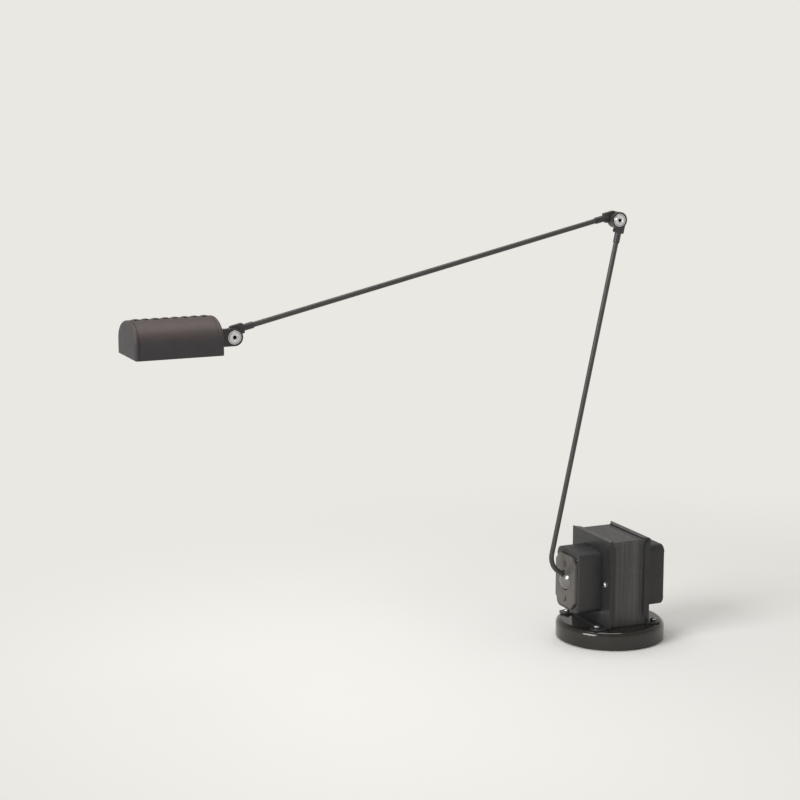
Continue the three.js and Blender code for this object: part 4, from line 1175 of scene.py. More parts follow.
@dataclass
class EndFrame:
    """A folded steel frame that clamps one end of the stack and stands on the weight."""

    name: str
    side: int
    thick: float = 1.5 * MM
    tab: float = 5.0 * MM
    from_corner: float = 2.5 * MM
    bottom_trim: float = 6.0 * MM
    foot_reach: float = 18.5 * MM
    foot_lobe: float = 15.0 * MM
    foot_strip: float = 9.0 * MM
    lobe_radius: float = 6.5 * MM
    screw_y: float = 34.0 * MM
    window_y: float = 16.8 * MM
    window_z: float = 27.4 * MM
    screw_bore: float = 2.3 * MM

    def across(self, a: float, b: float) -> Pair:
        """Two distances from the middle of the stack, as X stations from low to high."""
        return tuple(sorted((self.side * a, self.side * b)))

    def stock(self) -> Stock:
        """Shapes the frame: plate, three tabs folded over the stack, and the foot.

        Returns:
            The solid.
        """
        low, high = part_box(self.name)
        outer = max(abs(low.x), abs(high.x)) - self.foot_reach
        inner = outer - self.thick
        lip = inner - self.tab
        half, bottom, top = high.y, low.z, high.z
        plate_low, plate_high = self.across(inner, outer)
        plate = Stock.block((plate_low, -half, bottom), (plate_high, half, top))
        reach = [(outer, 0.0), (inner, 0.0), (lip, self.tab)]

        def strip(extent: float, middle: float) -> list[Pair]:
            """A tab's outline, with its ends cut at 45 degrees."""
            near = [(self.side * x, middle - extent + trim) for x, trim in reach]
            far = [(self.side * x, middle + extent - trim) for x, trim in reversed(reach)]
            return [*near, *far]

        top_tab = Stock.prism(strip(half - self.from_corner, 0.0), Axis.Z, top - self.thick, top)
        low_end, high_end = bottom + self.bottom_trim, top - self.from_corner
        face = strip((high_end - low_end) / 2, (high_end + low_end) / 2)
        front = Stock.prism(face, Axis.Y, -half, -half + self.thick)
        back = Stock.prism(face, Axis.Y, half - self.thick, half)
        foot_top = bottom + self.thick
        lobe_low, lobe_high = self.across(inner, outer + self.foot_reach)
        strip_low, strip_high = self.across(inner, outer + self.foot_strip)
        lobes = []
        for y in (-self.screw_y - MM, self.screw_y + MM):
            shape = rounded((lobe_low, y - self.foot_lobe / 2), (lobe_high, y + self.foot_lobe / 2),
                            self.lobe_radius)
            lobes.append(Stock.prism(shape, Axis.Z, bottom, foot_top))
        run = half - self.foot_lobe / 4
        sill = Stock.prism(rounded((strip_low, -run), (strip_high, run), 2 * MM), Axis.Z, bottom, foot_top)
        middle_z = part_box("transformer_core")
        centre = (middle_z[0].z + middle_z[1].z) / 2
        window = Stock.block((plate_low - MM, -self.window_y, centre - self.window_z),
                             (plate_high + MM, self.window_y, centre + self.window_z))
        bores = [*shank_bores(Axis.X, self.screw_bore, *CORE_BOLTS),
                 *shank_bores(Axis.Z, self.screw_bore, *FOOT_SCREWS)]
        return plate.join(top_tab, front, back, sill, *lobes).cut(window, *bores)

    def build(self, bench: Bench) -> None:
        """Makes the frame, with rounded folds and eased edges."""
        piece = self.stock().released(f"folded_{self.name}", soften=0.35 * MM, steps=3)
        bench.fit(piece, Body.BASE, Slot.FRAME_BLACK, self.name)


@dataclass
class WindingCover:
    """A moulded cover over one end of the windings, softly rounded at its end face."""

    name: str
    side: int
    wall: float = 2.0 * MM
    corner: float = 7.0 * MM
    rim: float = 2.6 * MM
    seat_depth: float = 1.0 * MM
    seat_radius: float = 2.4 * MM
    screw_bore: float = 1.5 * MM

    def shell(self) -> Stock:
        """Shapes the cover's outside, drawn in round its end face, and hollows it.

        Returns:
            The solid.
        """
        low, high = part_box(self.name)
        start, end = (low.x, high.x) if self.side > 0 else (high.x, low.x)
        bm = bmesh.new()
        rings = []
        steps = 8
        stations = [(start, 0.0)]
        for i in range(steps + 1):
            angle = math.pi / 2 * i / steps
            stations.append((end - self.side * self.rim * (1 - math.sin(angle)),
                             self.rim * (1 - math.cos(angle))))
        for x, inset in stations:
            shape = rounded((low.y + inset, low.z + inset), (high.y - inset, high.z - inset),
                            self.corner - inset * 0.8, 10)
            rings.append([bm.verts.new((x, y, z)) for y, z in shape])
        skin(bm, rings)
        bm.faces.new(rings[0])
        bm.faces.new(rings[-1])
        inner = rounded((low.y + self.wall, low.z + self.wall), (high.y - self.wall, high.z - self.wall),
                        self.corner - self.wall)
        span = sorted((start - self.side * MM, end - self.side * self.wall))
        return Stock.of(bm).cut(Stock.prism(inner, Axis.X, *span))

    def screw_names(self) -> list[str]:
        """The names of the cover's four screws."""
        return [f"{self.name}_screw_{level}_{face}" for level in ("low", "high") for face in ("front", "back")]

    def with_seats(self, body: Stock) -> Stock:
        """Sinks a round seat for each screw head.

        Args:
            body: the cover.

        Returns:
            The cover with its seats.
        """
        low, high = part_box(self.name)
        end = high.x if self.side > 0 else low.x
        span = sorted((end - self.side * self.seat_depth, end + self.side * MM))
        seats = []
        for name in self.screw_names():
            middle = middle_of(name)
            seats.append(Stock.bar(Axis.X, *span, self.seat_radius, (middle.y, middle.z), 32))
        return body.cut(*seats, *shank_bores(Axis.X, self.screw_bore, *self.screw_names()))

    def build(self, bench: Bench, opening: Stock) -> None:
        """Makes the cover and its screws.

        Args:
            bench: where pieces are dressed.
            opening: the hole for the rocker or for the gland.
        """
        body = self.with_seats(self.shell().cut(opening))
        piece = body.released(f"moulded_{self.name}", soften=0.25 * MM, steps=2, crease=38.0)
        bench.fit(piece, Body.BASE, Slot.COVER_PLASTIC, self.name)
        for name in self.screw_names():
            low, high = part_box(name)
            middle = middle_of(name)
            screw = PanScrew(2.1 * MM, 1.4 * MM, 1.2 * MM, (high.x - low.x) - 1.4 * MM)
            seat = high.x - screw.head_height if self.side > 0 else low.x + screw.head_height
            stock = screw.stock(Axis.X, seat, self.side, (middle.y, middle.z))
            bench.fit(stock.released(f"cross_{name}"), Body.BASE, Slot.SCREW_STEEL, name,
                      material=bench.finishes.blackened)


@dataclass
class Rocker:
    """The dimmer's rocker plate, with a sun above the ball and a crescent below it."""

    chamfer: float = 8.5 * MM
    clear: float = 0.9 * MM
    floor: float = 2.8 * MM
    skirt: float = 1.6 * MM
    crown: float = 0.5 * MM
    sun_rise: float = 18.5 * MM
    moon_drop: float = 20.5 * MM
    sun_radius: float = 2.6 * MM
    mark: float = 0.12 * MM

    def outline(self, grow: float) -> list[Pair]:
        """The plate's outline in Y and Z.

        Args:
            grow: how far it is drawn out beyond the plate.

        Returns:
            Its eight corners.
        """
        low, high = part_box("rocker_plate")
        return chamfered((low.y - grow, low.z - grow), (high.y + grow, high.z + grow),
                         self.chamfer + grow * math.tan(math.pi / 8))

    def window(self) -> Stock:
        """The tool that opens the cover for the plate."""
        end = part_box("switch_cover")[0].x
        return Stock.prism(self.outline(self.clear), Axis.X, end - MM, end + 3 * MM)

    def plate(self, ball: Vector, radius: float) -> Stock:
        """Shapes the plate: a tray with eased edges, open round the ball.

        Args:
            ball: the ball's centre.
            radius: the ball's radius.

        Returns:
            The solid.
        """
        low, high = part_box("rocker_plate")
        bm = bmesh.new()
        rings = []
        steps = 5
        ease = 1.0 * MM
        stations = [(high.x, 0.0)]
        for i in range(steps + 1):
            angle = math.pi / 2 * i / steps
            stations.append((low.x + ease * (1 - math.sin(angle)), ease * (1 - math.cos(angle))))
        for x, inset in stations:
            rings.append([bm.verts.new((x, y, z)) for y, z in self.outline(-inset)])
        skin(bm, rings)
        bm.faces.new(rings[0])
        bm.faces.new(rings[-1])
        hollow = Stock.prism(self.outline(-self.skirt), Axis.X, low.x + self.floor, high.x + MM)
        return Stock.of(bm).cut(hollow, Stock.ball(ball, radius + self.clear))

    def sun(self, ball: Vector) -> Stock:
        """Shapes the sun mark: a ring with eight short rays."""
        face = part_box("rocker_plate")[0].x
        middle = (ball.y, ball.z + self.sun_rise)
        span = (face - self.mark, face + self.mark)
        ring = Stock.prism(circle(self.sun_radius, 32, middle), Axis.X, *span)
        ring = ring.cut(Stock.prism(circle(self.sun_radius - 0.9 * MM, 32, middle), Axis.X,
                                    span[0] - MM, span[1] + MM))
        rays = []
        for i in range(8):
            turn = math.tau * i / 8
            corners = [(self.sun_radius + 0.5 * MM, -0.3 * MM), (self.sun_radius + 1.7 * MM, -0.3 * MM),
                       (self.sun_radius + 1.7 * MM, 0.3 * MM), (self.sun_radius + 0.5 * MM, 0.3 * MM)]
            shape = [(middle[0] + a * math.cos(turn) - b * math.sin(turn),
                      middle[1] + a * math.sin(turn) + b * math.cos(turn)) for a, b in corners]
            rays.append(Stock.prism(shape, Axis.X, *span))
        return ring.join(*rays)

    def moon(self, ball: Vector) -> Stock:
        """Shapes the crescent mark."""
        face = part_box("rocker_plate")[0].x
        middle = (ball.y, ball.z - self.moon_drop)
        span = (face - self.mark, face + self.mark)
        disc = Stock.prism(circle(3.2 * MM, 40, middle), Axis.X, *span)
        bite = Stock.prism(circle(2.8 * MM, 40, (middle[0] + 1.5 * MM, middle[1] + 0.6 * MM)),
                           Axis.X, span[0] - MM, span[1] + MM)
        return disc.cut(bite)

    def build(self, bench: Bench, ball: Vector, radius: float) -> None:
        """Makes the plate and its marks.

        Args:
            bench: where pieces are dressed.
            ball: the ball's centre.
            radius: the ball's radius.
        """
        plate = self.plate(ball, radius).released("dimmer_rocker", soften=0.2 * MM, crease=30.0)
        bench.fit(plate, Body.ROCKER, Slot.ROCKER_PLASTIC, "rocker_plate")
        for name, stock in (("sun_mark", self.sun(ball)), ("crescent_mark", self.moon(ball))):
            bench.fit(stock.released(name), Body.ROCKER, Slot.COVER_PLASTIC, material=bench.finishes.ink)


@dataclass
class BaseFasteners:
    """The screws of the feet, and the two bolts that clamp the stack."""

    foot: PanScrew = field(default_factory=lambda: PanScrew(3.3 * MM, 2.6 * MM, 2.0 * MM, 11.0 * MM))
    nut: HexNut = field(default_factory=lambda: HexNut(7.0 * MM, 3.2 * MM, 2.3 * MM))
    bolt_head: float = 3.6 * MM
    bolt_head_height: float = 2.4 * MM
    bolt_radius: float = 2.0 * MM

    def bolt(self, name: str) -> Stock:
        """Shapes a bolt with a domed head on the switch side.

        Args:
            name: the bolt's node.

        Returns:
            The solid.
        """
        low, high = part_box(name)
        middle = middle_of(name)
        seat = low.x + self.bolt_head_height
        profile = [(0.0, low.x)]
        steps = 8
        for i in range(1, steps + 1):
            angle = math.pi / 2 * i / steps
            profile.append((self.bolt_head * math.sin(angle), seat - self.bolt_head_height * math.cos(angle)))
        ease = 0.5 * MM
        profile += [(self.bolt_radius, seat), (self.bolt_radius, high.x - ease),
                    (self.bolt_radius - ease, high.x), (0.0, high.x)]
        return Stock.turned(profile, Axis.X, (middle.y, middle.z), 40)

    def build(self, bench: Bench) -> None:
        """Makes every fastener of the base."""
        for end in ("switch_side", "mains_side"):
            for face in ("front", "back"):
                name = f"foot_screw_{end}_{face}"
                high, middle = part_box(name)[1], middle_of(name)
                stock = self.foot.stock(Axis.Z, high.z - self.foot.head_height, 1.0, (middle.x, middle.y))
                bench.fit(stock.released(f"cross_{name}"), Body.BASE, Slot.SCREW_STEEL, name)
        for face in ("front", "back"):
            name = f"core_bolt_{face}"
            bench.fit(self.bolt(name).released(f"domed_{name}"), Body.BASE, Slot.SCREW_STEEL, name)
            name = f"core_bolt_nut_{face}"
            low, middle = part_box(name)[0], middle_of(name)
            stock = self.nut.stock(Axis.X, low.x, (middle.y, middle.z))
            bench.fit(stock.released(f"hexagon_{name}"), Body.BASE, Slot.SCREW_STEEL, name)


@dataclass
class CordGland:
    """The ribbed rubber gland at the back of the mains cover, with its open bore."""

    bore: float = 3.2 * MM
    body: float = 5.0 * MM
    collar: float = 6.5 * MM
    ribs: int = 3

    def tool(self) -> Stock:
        """The tool that opens the cover for the gland."""
        middle, back = middle_of("cord_gland"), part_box("mains_cover")[1].y
        return Stock.bar(Axis.Y, back - 3 * MM, back + MM, self.body + 0.3 * MM, (middle.x, middle.z))

    def build(self, bench: Bench) -> None:
        """Makes the gland."""
        low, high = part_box("cord_gland")
        middle, back = middle_of("cord_gland"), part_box("mains_cover")[1].y + 0.3 * MM
        lip = 1.5 * MM
        profile = [(self.bore, low.y), (self.body, low.y), (self.body, back), (self.collar, back),
                   (self.collar, back + lip)]
        run = high.y - back - lip
        for i in range(self.ribs):
            start = back + lip + run * i / self.ribs
            wide = self.body - 0.4 * MM * i / self.ribs
            profile += [(wide - 0.5 * MM, start + run * 0.06), (wide - 0.5 * MM, start + run * 0.12),
                        (wide, start + run * 0.17), (wide, start + run * 0.27)]
        profile += [(self.body - 0.9 * MM, high.y), (self.bore, high.y)]
        piece = Stock.turned(profile, Axis.Y, (middle.x, middle.z), 48).released("ribbed_gland")
        bench.fit(piece, Body.BASE, Slot.RUBBER, "cord_gland")


# ------------------------------------------------------------------------------------ the arm


@dataclass
class LowerArm:
    """The ball, and the tube that leaves it, bends upwards and runs to the elbow."""

    ball_radius: float = 12.5 * MM
    tube_radius: float = 2.7 * MM
    bore: float = 1.8 * MM
    stub_angle: float = math.radians(35.0)
    stub: float = 19.4 * MM
    inset: float = 5.5 * MM
    bend: float = 20.0 * MM
    lean: float = math.radians(12.15)
    seat: float = 11.7 * MM
    offset: float = 2.5 * MM
    sleeve: float = 3.5 * MM

    def path(self, ball: Vector, elbow: Vector) -> list[Vector]:
        """The tube's centre line.

        Args:
            ball: the ball's centre.
            elbow: the elbow's pivot.

        Returns:
            Its points, from inside the ball to inside the elbow's fitting.
        """
        out = Vector((-math.cos(self.stub_angle), 0.0, math.sin(self.stub_angle)))
        up = Vector((math.sin(self.lean), 0.0, math.cos(self.lean)))
        turn_from = ball + out * self.stub
        centre = turn_from + Vector((out.z, 0.0, -out.x)) * self.bend
        start, end = math.pi / 2 - self.stub_angle, -self.lean
        steps = 40
        points = [ball + out * self.inset]
        for i in range(steps + 1):
            angle = start + (end - start) * i / steps
            points.append(centre - Vector((math.cos(angle), 0.0, math.sin(angle))) * self.bend)
        side = Vector((up.z, 0.0, -up.x)) * self.offset
        points.append(elbow + side - up * self.seat)
        return points

    def ball(self, centre: Vector) -> Stock:
        """Shapes the ball, with a shallow round seat where the tube leaves it.

        Args:
            centre: the ball's centre.

        Returns:
            The solid.
        """
        out = Vector((-math.cos(self.stub_angle), 0.0, math.sin(self.stub_angle)))
        bore = Stock.tube([centre + out * (self.inset - 0.3 * MM), centre + out * self.ball_radius * 1.2],
                          self.tube_radius + 0.3 * MM, 0.0, 40)
        return Stock.ball(centre, self.ball_radius, 96).cut(bore)

    def build(self, bench: Bench, ball: Vector, elbow: Vector) -> None:
        """Makes the ball and the tube.

        Args:
            bench: where pieces are dressed.
            ball: the ball's centre.
            elbow: the elbow's pivot.
        """
        tube = Stock.tube(self.path(ball, elbow), self.tube_radius, self.bore, 40)
        bench.fit(tube.released("bent_lower_tube"), Body.LOWER_ARM, Slot.ARM_BLACK, "lower_arm_tube")
        bench.fit(self.ball(ball).released("pivot_ball", soften=0.15 * MM), Body.LOWER_ARM,
                  Slot.BALL_METAL, "arm_ball")


@dataclass(frozen=True)
class Fitting:
    """A hub about Y with a shoulder beside it and a sleeve that takes a tube."""

    hub: float = 8.8 * MM
    reach: float = 13.7 * MM
    width: float = 10.4 * MM
    sleeve: float = 3.5 * MM
    sleeve_end: float = 24.3 * MM
    tube: float = 3.0 * MM
    tube_from: float = 11.4 * MM
    bore: float = 2.3 * MM
    grub_station: float = 11.2 * MM
    grub_bore: float = 1.8 * MM

    def stock(self, side: int, offset: float, start: float, end: float) -> Stock:
        """Shapes the fitting about the origin, with its sleeve along X.

        Args:
            side: 1 where the sleeve runs up X, or -1.
            offset: how far the sleeve is above the hub's middle.
            start: where the hub starts along Y.
            end: where it ends.

        Returns:
            The solid.
        """
        middle = (start + end) / 2
        hub = Stock.bar(Axis.Y, start, end, self.hub, (0.0, 0.0), 72)
        corner = 1.2 * MM
        low, high = sorted((0.0, side * self.reach))
        shoulder = Stock.prism(
            rounded((low, offset - self.width / 2), (high, offset + self.width / 2), corner, 5),
            Axis.Y, start, end)
        span = sorted((side * (self.hub + 0.3 * MM), side * self.sleeve_end))
        sleeve = Stock.bar(Axis.X, *span, self.sleeve, (middle, offset), 40)
        run = sorted((side * self.tube_from, side * (self.sleeve_end + MM)))
        tube = Stock.bar(Axis.X, *run, self.tube, (middle, offset), 40)
        pivot = Stock.bar(Axis.Y, start - MM, end + MM, self.bore, (0.0, 0.0), 40)
        return hub.join(shoulder, sleeve).cut(tube, pivot)


@dataclass(frozen=True)
class Pivot:
    """One friction joint's hardware: a bright turned screw, a washer and a nut."""

    name: str
    disc: float = 7.1 * MM
    disc_thick: float = 2.3 * MM
    proud: float = 0.4 * MM
    socket: float = 1.9 * MM
    socket_depth: float = 1.4 * MM
    shank: float = 2.0 * MM
    step: float = 0.5 * MM

    def screw(self, centre: Vector) -> Stock:
        """Shapes the screw: a rim, a groove, a raised land and a hexagon socket.

        Args:
            centre: the pivot's place.

        Returns:
            The solid.
        """
        low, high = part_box(f"{self.name}_pivot_screw")
        front = low.y
        ease = 0.25 * MM
        profile = [
            (0.0, front + self.step), (3.05 * MM, front + self.step), (3.3 * MM, front + ease),
            (3.3 * MM + ease, front), (5.1 * MM, front), (5.1 * MM + ease, front + ease),
            (5.5 * MM, front + ease * 2.4), (6.3 * MM, front + ease * 2.4), (6.45 * MM, front + ease),
            (self.disc - ease, front + ease), (self.disc, front + ease * 2),
            (self.disc, front + self.disc_thick), (self.shank, front + self.disc_thick),
            (self.shank, high.y), (0.0, high.y),
        ]
        body = Stock.turned(profile, Axis.Y, (centre.x, centre.z), 96)
        socket = circle(self.socket / math.cos(math.pi / 6), 6, (centre.x, centre.z), math.pi / 7)
        return body.cut(Stock.prism(socket, Axis.Y, front - MM, front + self.step + self.socket_depth))

    def build(self, bench: Bench, centre: Vector, screw_body: Body, held: Matrix) -> None:
        """Makes the screw, the washer and the nut.

        Args:
            bench: where pieces are dressed.
            centre: the pivot's place.
            screw_body: what the screw and the washer turn with.
            held: the place of the pocket in the upper arm that holds the nut.
        """
        screw = self.screw(centre).released(f"turned_{self.name}_screw", soften=0.08 * MM)
        bench.fit(screw, screw_body, Slot.TURNED_METAL, f"{self.name}_pivot_screw",
                  material=bench.finishes.turned[self.name])
        low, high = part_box(f"{self.name}_friction_washer")
        rim = [(self.shank + 0.3 * MM, low.y), (high.x - centre.x, low.y), (high.x - centre.x, high.y),
               (self.shank + 0.3 * MM, high.y)]
        washer = Stock.turned(rim, Axis.Y, (centre.x, centre.z), 72).released(f"nylon_{self.name}_washer")
        bench.fit(washer, screw_body, Slot.CREAM_PLASTIC, f"{self.name}_friction_washer")
        low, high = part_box(f"{self.name}_pivot_nut")
        nut = HexNut(7.0 * MM, high.y - low.y, self.shank + 0.3 * MM)
        stock = nut.stock(Axis.Y, low.y, (0.0, 0.0)).placed(held)
        bench.fit(stock.released(f"hexagon_{self.name}_nut"), Body.UPPER_ARM, Slot.SCREW_STEEL,
                  f"{self.name}_pivot_nut")


@dataclass
class ArmJoints:
    """The fittings at the elbow and at the head, with their grub screws and pivots."""

    fitting: Fitting = field(default_factory=Fitting)
    lean: float = math.radians(12.15)
    slope: float = math.radians(12.83)
    length: float = 448.4 * MM
    lower_offset: float = 2.5 * MM
    upper_offset: float = 5.0 * MM
    front: Pair = (-2.9 * MM, 2.9 * MM)
    rear: Pair = (4.0 * MM, 9.2 * MM)
    disc_seat: float = 7.4 * MM
    disc_floor: float = -0.7 * MM
    nut_pocket: float = 4.6 * MM
    nut_recess: float = 2.4 * MM
    grub: float = 1.5 * MM

    def disc_tool(self) -> Stock:
        """The tool that sinks the seat for the bright disc."""
        return Stock.bar(Axis.Y, self.front[0] - MM, self.disc_floor, self.disc_seat, (0.0, 0.0), 72)

    def nut_tool(self) -> Stock:
        """The tool that sinks the hexagonal pocket for the nut."""
        return Stock.prism(circle(self.nut_pocket, 6), Axis.Y, self.rear[1] - self.nut_recess,
                           self.rear[1] + MM)

    def turn(self, centre: Vector, angle: float) -> Matrix:
        """The matrix from a fitting's own frame to its place.

        Args:
            centre: the pivot's place.
            angle: how far it is turned about Y, as the arm is.

        Returns:
            The matrix.
        """
        return Matrix.Translation(centre) @ Matrix.Rotation(angle, 4, "Y")

    def grub_screw(self, node: str, towards: int, side: int, offset: float, plane: float) -> Stock:
        """Shapes a socket set screw, about the origin.

        Args:
            node: the plain node that it stands for.
            towards: 1 where it faces up Z, or -1.
            side: the sleeve's side.
            offset: the sleeve's height.
            plane: the sleeve's place along Y.

        Returns:
            The solid.
        """
        proud = 1.2 * MM if node.startswith("lower") else -0.6 * MM
        near = offset + towards * 3.3 * MM
        far = offset + towards * (self.fitting.width / 2 + proud)
        at = (side * self.fitting.grub_station, plane)
        body = Stock.bar(Axis.Z, *sorted((near, far)), self.grub, at, 32)
        span = sorted((far - towards * 0.8 * MM, far + towards * MM))
        return body.cut(Stock.prism(circle(0.75 * MM, 6, at), Axis.Z, *span))

    def grub_hole(self, towards: int, side: int, offset: float, plane: float) -> Stock:
        """The tool that drills a set screw's hole."""
        span = sorted((offset + towards * 3.0 * MM, offset + towards * self.fitting.width))
        at = (side * self.fitting.grub_station, plane)
        return Stock.bar(Axis.Z, *span, self.fitting.grub_bore, at, 32)

    def build(self, bench: Bench, elbow: Vector, head: Vector) -> None:
        """Makes every fitting of both joints.

        Args:
            bench: where pieces are dressed.
            elbow: the elbow's pivot.
            head: the head's pivot.
        """
        plane = sum(self.rear) / 2
        places = [
            ("lower_arm_fitting", "lower_arm_grub_screw", Body.LOWER_ARM, -1, 1, -self.lower_offset,
             0.0, self.front, self.disc_tool, self.turn(elbow, -(math.pi / 2 - self.lean))),
            ("upper_arm_elbow_end_fitting", "upper_arm_elbow_end_grub_screw", Body.UPPER_ARM, -1, -1,
             self.upper_offset, plane, self.rear, self.nut_tool, self.turn(elbow, -self.slope)),
            ("upper_arm_head_end_fitting", "upper_arm_head_end_grub_screw", Body.UPPER_ARM, 1, -1,
             self.upper_offset, plane, self.rear, self.nut_tool, self.turn(head, -self.slope)),
        ]
        for node, grub, body, side, towards, offset, y, span, tool, matrix in places:
            hole = self.grub_hole(towards, side, offset, y)
            stock = self.fitting.stock(side, offset, *span).cut(tool(), hole).placed(matrix)
            piece = stock.released(f"moulded_{node}", soften=0.7 * MM, steps=4, crease=36.0)
            bench.fit(piece, body, Slot.JOINT_BLACK, node)
            screw = self.grub_screw(grub, towards, side, offset, y).placed(matrix)
            bench.fit(screw.released(f"socket_{grub}", soften=0.12 * MM), body, Slot.FRAME_BLACK, grub)
        Pivot("elbow").build(bench, elbow, Body.LOWER_ARM, self.turn(elbow, -self.slope))
        Pivot("head").build(bench, head, Body.HEAD, self.turn(head, -self.slope))
        run = Matrix.Rotation(-self.slope, 4, "Y")
        seat = 11.7 * MM
        ends = [Vector((-self.length + seat, plane, self.upper_offset)), Vector((-seat, plane, self.upper_offset))]
        path = [elbow + run @ end for end in ends]
        tube = Stock.tube(path, 2.7 * MM, 1.8 * MM, 40).released("straight_upper_tube")
        bench.fit(tube, Body.UPPER_ARM, Slot.ARM_BLACK, "upper_arm_tube")


# ----------------------------------------------------------------------------------- the head


@dataclass
class Hood:
    """The arched hood: a bent shell with a row of louvres between two moulded caps."""

    width: float = 60.0 * MM
    wall_height: float = 15.0 * MM
    arch_height: float = 20.8 * MM
    sheet: float = 1.6 * MM
    louvres: int = 8
    pitch: float = 10.0 * MM
    louvre_length: float = 8.0 * MM
    louvre_width: float = 12.0 * MM
    louvre_rise: float = 0.9 * MM
    louvre_shift: float = 2.5 * MM
    slot_length: float = 5.6 * MM
    slot_near: float = -3.4 * MM
    slot_far: float = -1.4 * MM
    cap_round: float = 2.6 * MM
    lip_reach: float = 1.0 * MM
    lip_root: float = 2.4 * MM
    lip_clear: float = 0.3 * MM
    lip_inner: float = 3.4 * MM
    screw_bore: float = 1.8 * MM
    wall_steps: int = 6
    arch_steps: int = 72

    def rim(self) -> float:
        """The height of the hood's open edge."""
        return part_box("hood_shell")[0].z

    def section(self, inset: float, foot: float = 0.0) -> list[Pair]:
        """The hood's outline in Y and Z, drawn in by a distance, from one foot to the other.

        Args:
            inset: how far it is drawn in.
            foot: how far its feet are above the rim.

        Returns:
            Its points.
        """
        rim = self.rim()
        half, spring = self.width / 2 - inset, rim + self.wall_height
        rise = self.arch_height - inset
        low = rim + foot
        points = [(half, low + (spring - low) * i / self.wall_steps) for i in range(self.wall_steps)]
        for i in range(self.arch_steps + 1):
            angle = math.pi * i / self.arch_steps
            points.append((half * math.cos(angle), spring + rise * math.sin(angle)))
        mirrored = [(-y, z) for y, z in points[:self.wall_steps]]
        return [*points, *reversed(mirrored)]

    def louvre_places(self) -> list[float]:
        """The X station of each louvre."""
        low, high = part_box("hood_shell")
        middle = (low.x + high.x) / 2
        return [middle + (i - (self.louvres - 1) / 2) * self.pitch for i in range(self.louvres)]

    def swell(self, x: float, y: float) -> float:
        """How far a louvre lifts the sheet at a place.

        Args:
            x: the place along the hood.
            y: the place across it.

        Returns:
            The lift.
        """
        lift = 0.0
        for place in self.louvre_places():
            a = (x - place) / (self.louvre_length / 2)
            b = (y - self.louvre_shift) / (self.louvre_width / 2)
            share = 1 - a * a - b * b
            if share > 0:
                lift = max(lift, self.louvre_rise * share ** 0.7)
        return lift

    def shell(self) -> Stock:
        """Shapes the bent sheet with its louvres.

        Returns:
            The solid.
        """
        low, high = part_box("hood_shell")
        bm = bmesh.new()
        outer, inner = self.section(0.0), self.section(self.sheet)
        steps = round((high.x - low.x) / (0.8 * MM))
        rings = []
        for i in range(steps + 1):
            x = low.x + (high.x - low.x) * i / steps
            loop = []
            for y, z in outer:
                on_crown = abs(y) < self.louvre_width
                loop.append(bm.verts.new((x, y, z + (self.swell(x, y) if on_crown else 0.0))))
            for y, z in reversed(inner):
                loop.append(bm.verts.new((x, y, z)))
            rings.append(loop)
        skin(bm, rings)
        for ring in (rings[0], rings[-1]):
            half = len(ring) // 2
            for i in range(half - 1):
                bm.faces.new([ring[i], ring[i + 1], ring[-i - 2], ring[-i - 1]])
        crown = self.rim() + self.wall_height + self.arch_height
        slots = []
        for x in self.louvre_places():
            shape = rounded((x - self.slot_length / 2, self.slot_near), (x + self.slot_length / 2, self.slot_far),
                            0.9 * MM, 5)
            slots.append(Stock.prism(shape, Axis.Z, crown - 6 * MM, crown + 4 * MM))
        return Stock.of(bm).cut(*slots)

    def cap(self, node: str, outward: int) -> Stock:
        """Shapes an end cap: a round-edged plate with a shallow hollow at its back.

        Args:
            node: the plain node that it stands for.
            outward: the side that it faces along X.

        Returns:
            The solid.
        """
        low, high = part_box(node)
        seam, face = (low.x, high.x) if outward > 0 else (high.x, low.x)
        bm = bmesh.new()
        stations = [(seam, 0.15 * MM), (seam + outward * 0.3 * MM, 0.0)]
        steps = 9
        for i in range(steps + 1):
            angle = math.pi / 2 * i / steps
            stations.append((face - outward * self.cap_round * (1 - math.sin(angle)),
                             self.cap_round * (1 - math.cos(angle))))
        stations.append((face, self.cap_round + 1.0 * MM))
        rings = []
        for x, inset in stations:
            rings.append([bm.verts.new((x, y, z)) for y, z in self.section(inset, inset * 0.25)])
        skin(bm, rings)
        bm.faces.new(rings[0])
        bm.faces.new(rings[-1])
        back = [(y, z) for y, z in self.section(self.sheet + 0.4 * MM, self.sheet)]
        span = sorted((seam - outward * MM, seam + outward * 2.2 * MM))
        hollowed = Stock.of(bm).cut(Stock.prism(back, Axis.X, *span))
        return hollowed.join(self.lip(seam, outward))

    def lip(self, seam: float, outward: int) -> Stock:
        """Shapes the lip of a cap, which reaches into the shell and shuts the seam.

        Args:
            seam: where the cap meets the shell.
            outward: the side that the cap faces along X.

        Returns:
            The solid.
        """
        span = sorted((seam - outward * self.lip_reach, seam + outward * self.lip_root))
        outer = self.section(self.sheet + self.lip_clear, self.sheet)
        inner = self.section(self.lip_inner, 0.0)
        low, high = span
        bore = Stock.prism(inner, Axis.X, low - MM, high + MM)
        return Stock.prism(outer, Axis.X, low, high).cut(bore)

    def build(self, bench: Bench) -> None:
        """Makes the shell and its caps."""
        shell = self.shell().released("louvred_shell", crease=40.0)
        bench.fit(shell, Body.HEAD, Slot.HOOD_PAINT, "hood_shell")
        for node, outward in (("hood_far_cap", -1), ("hood_near_cap", 1)):
            bores = shank_bores(Axis.X, self.screw_bore, *LUG_SCREWS) if outward > 0 else []
            piece = self.cap(node, outward).cut(*bores)
            piece = piece.released(f"round_{node}", soften=0.2 * MM, crease=40.0)
            bench.fit(piece, Body.HEAD, Slot.HOOD_PAINT, node)


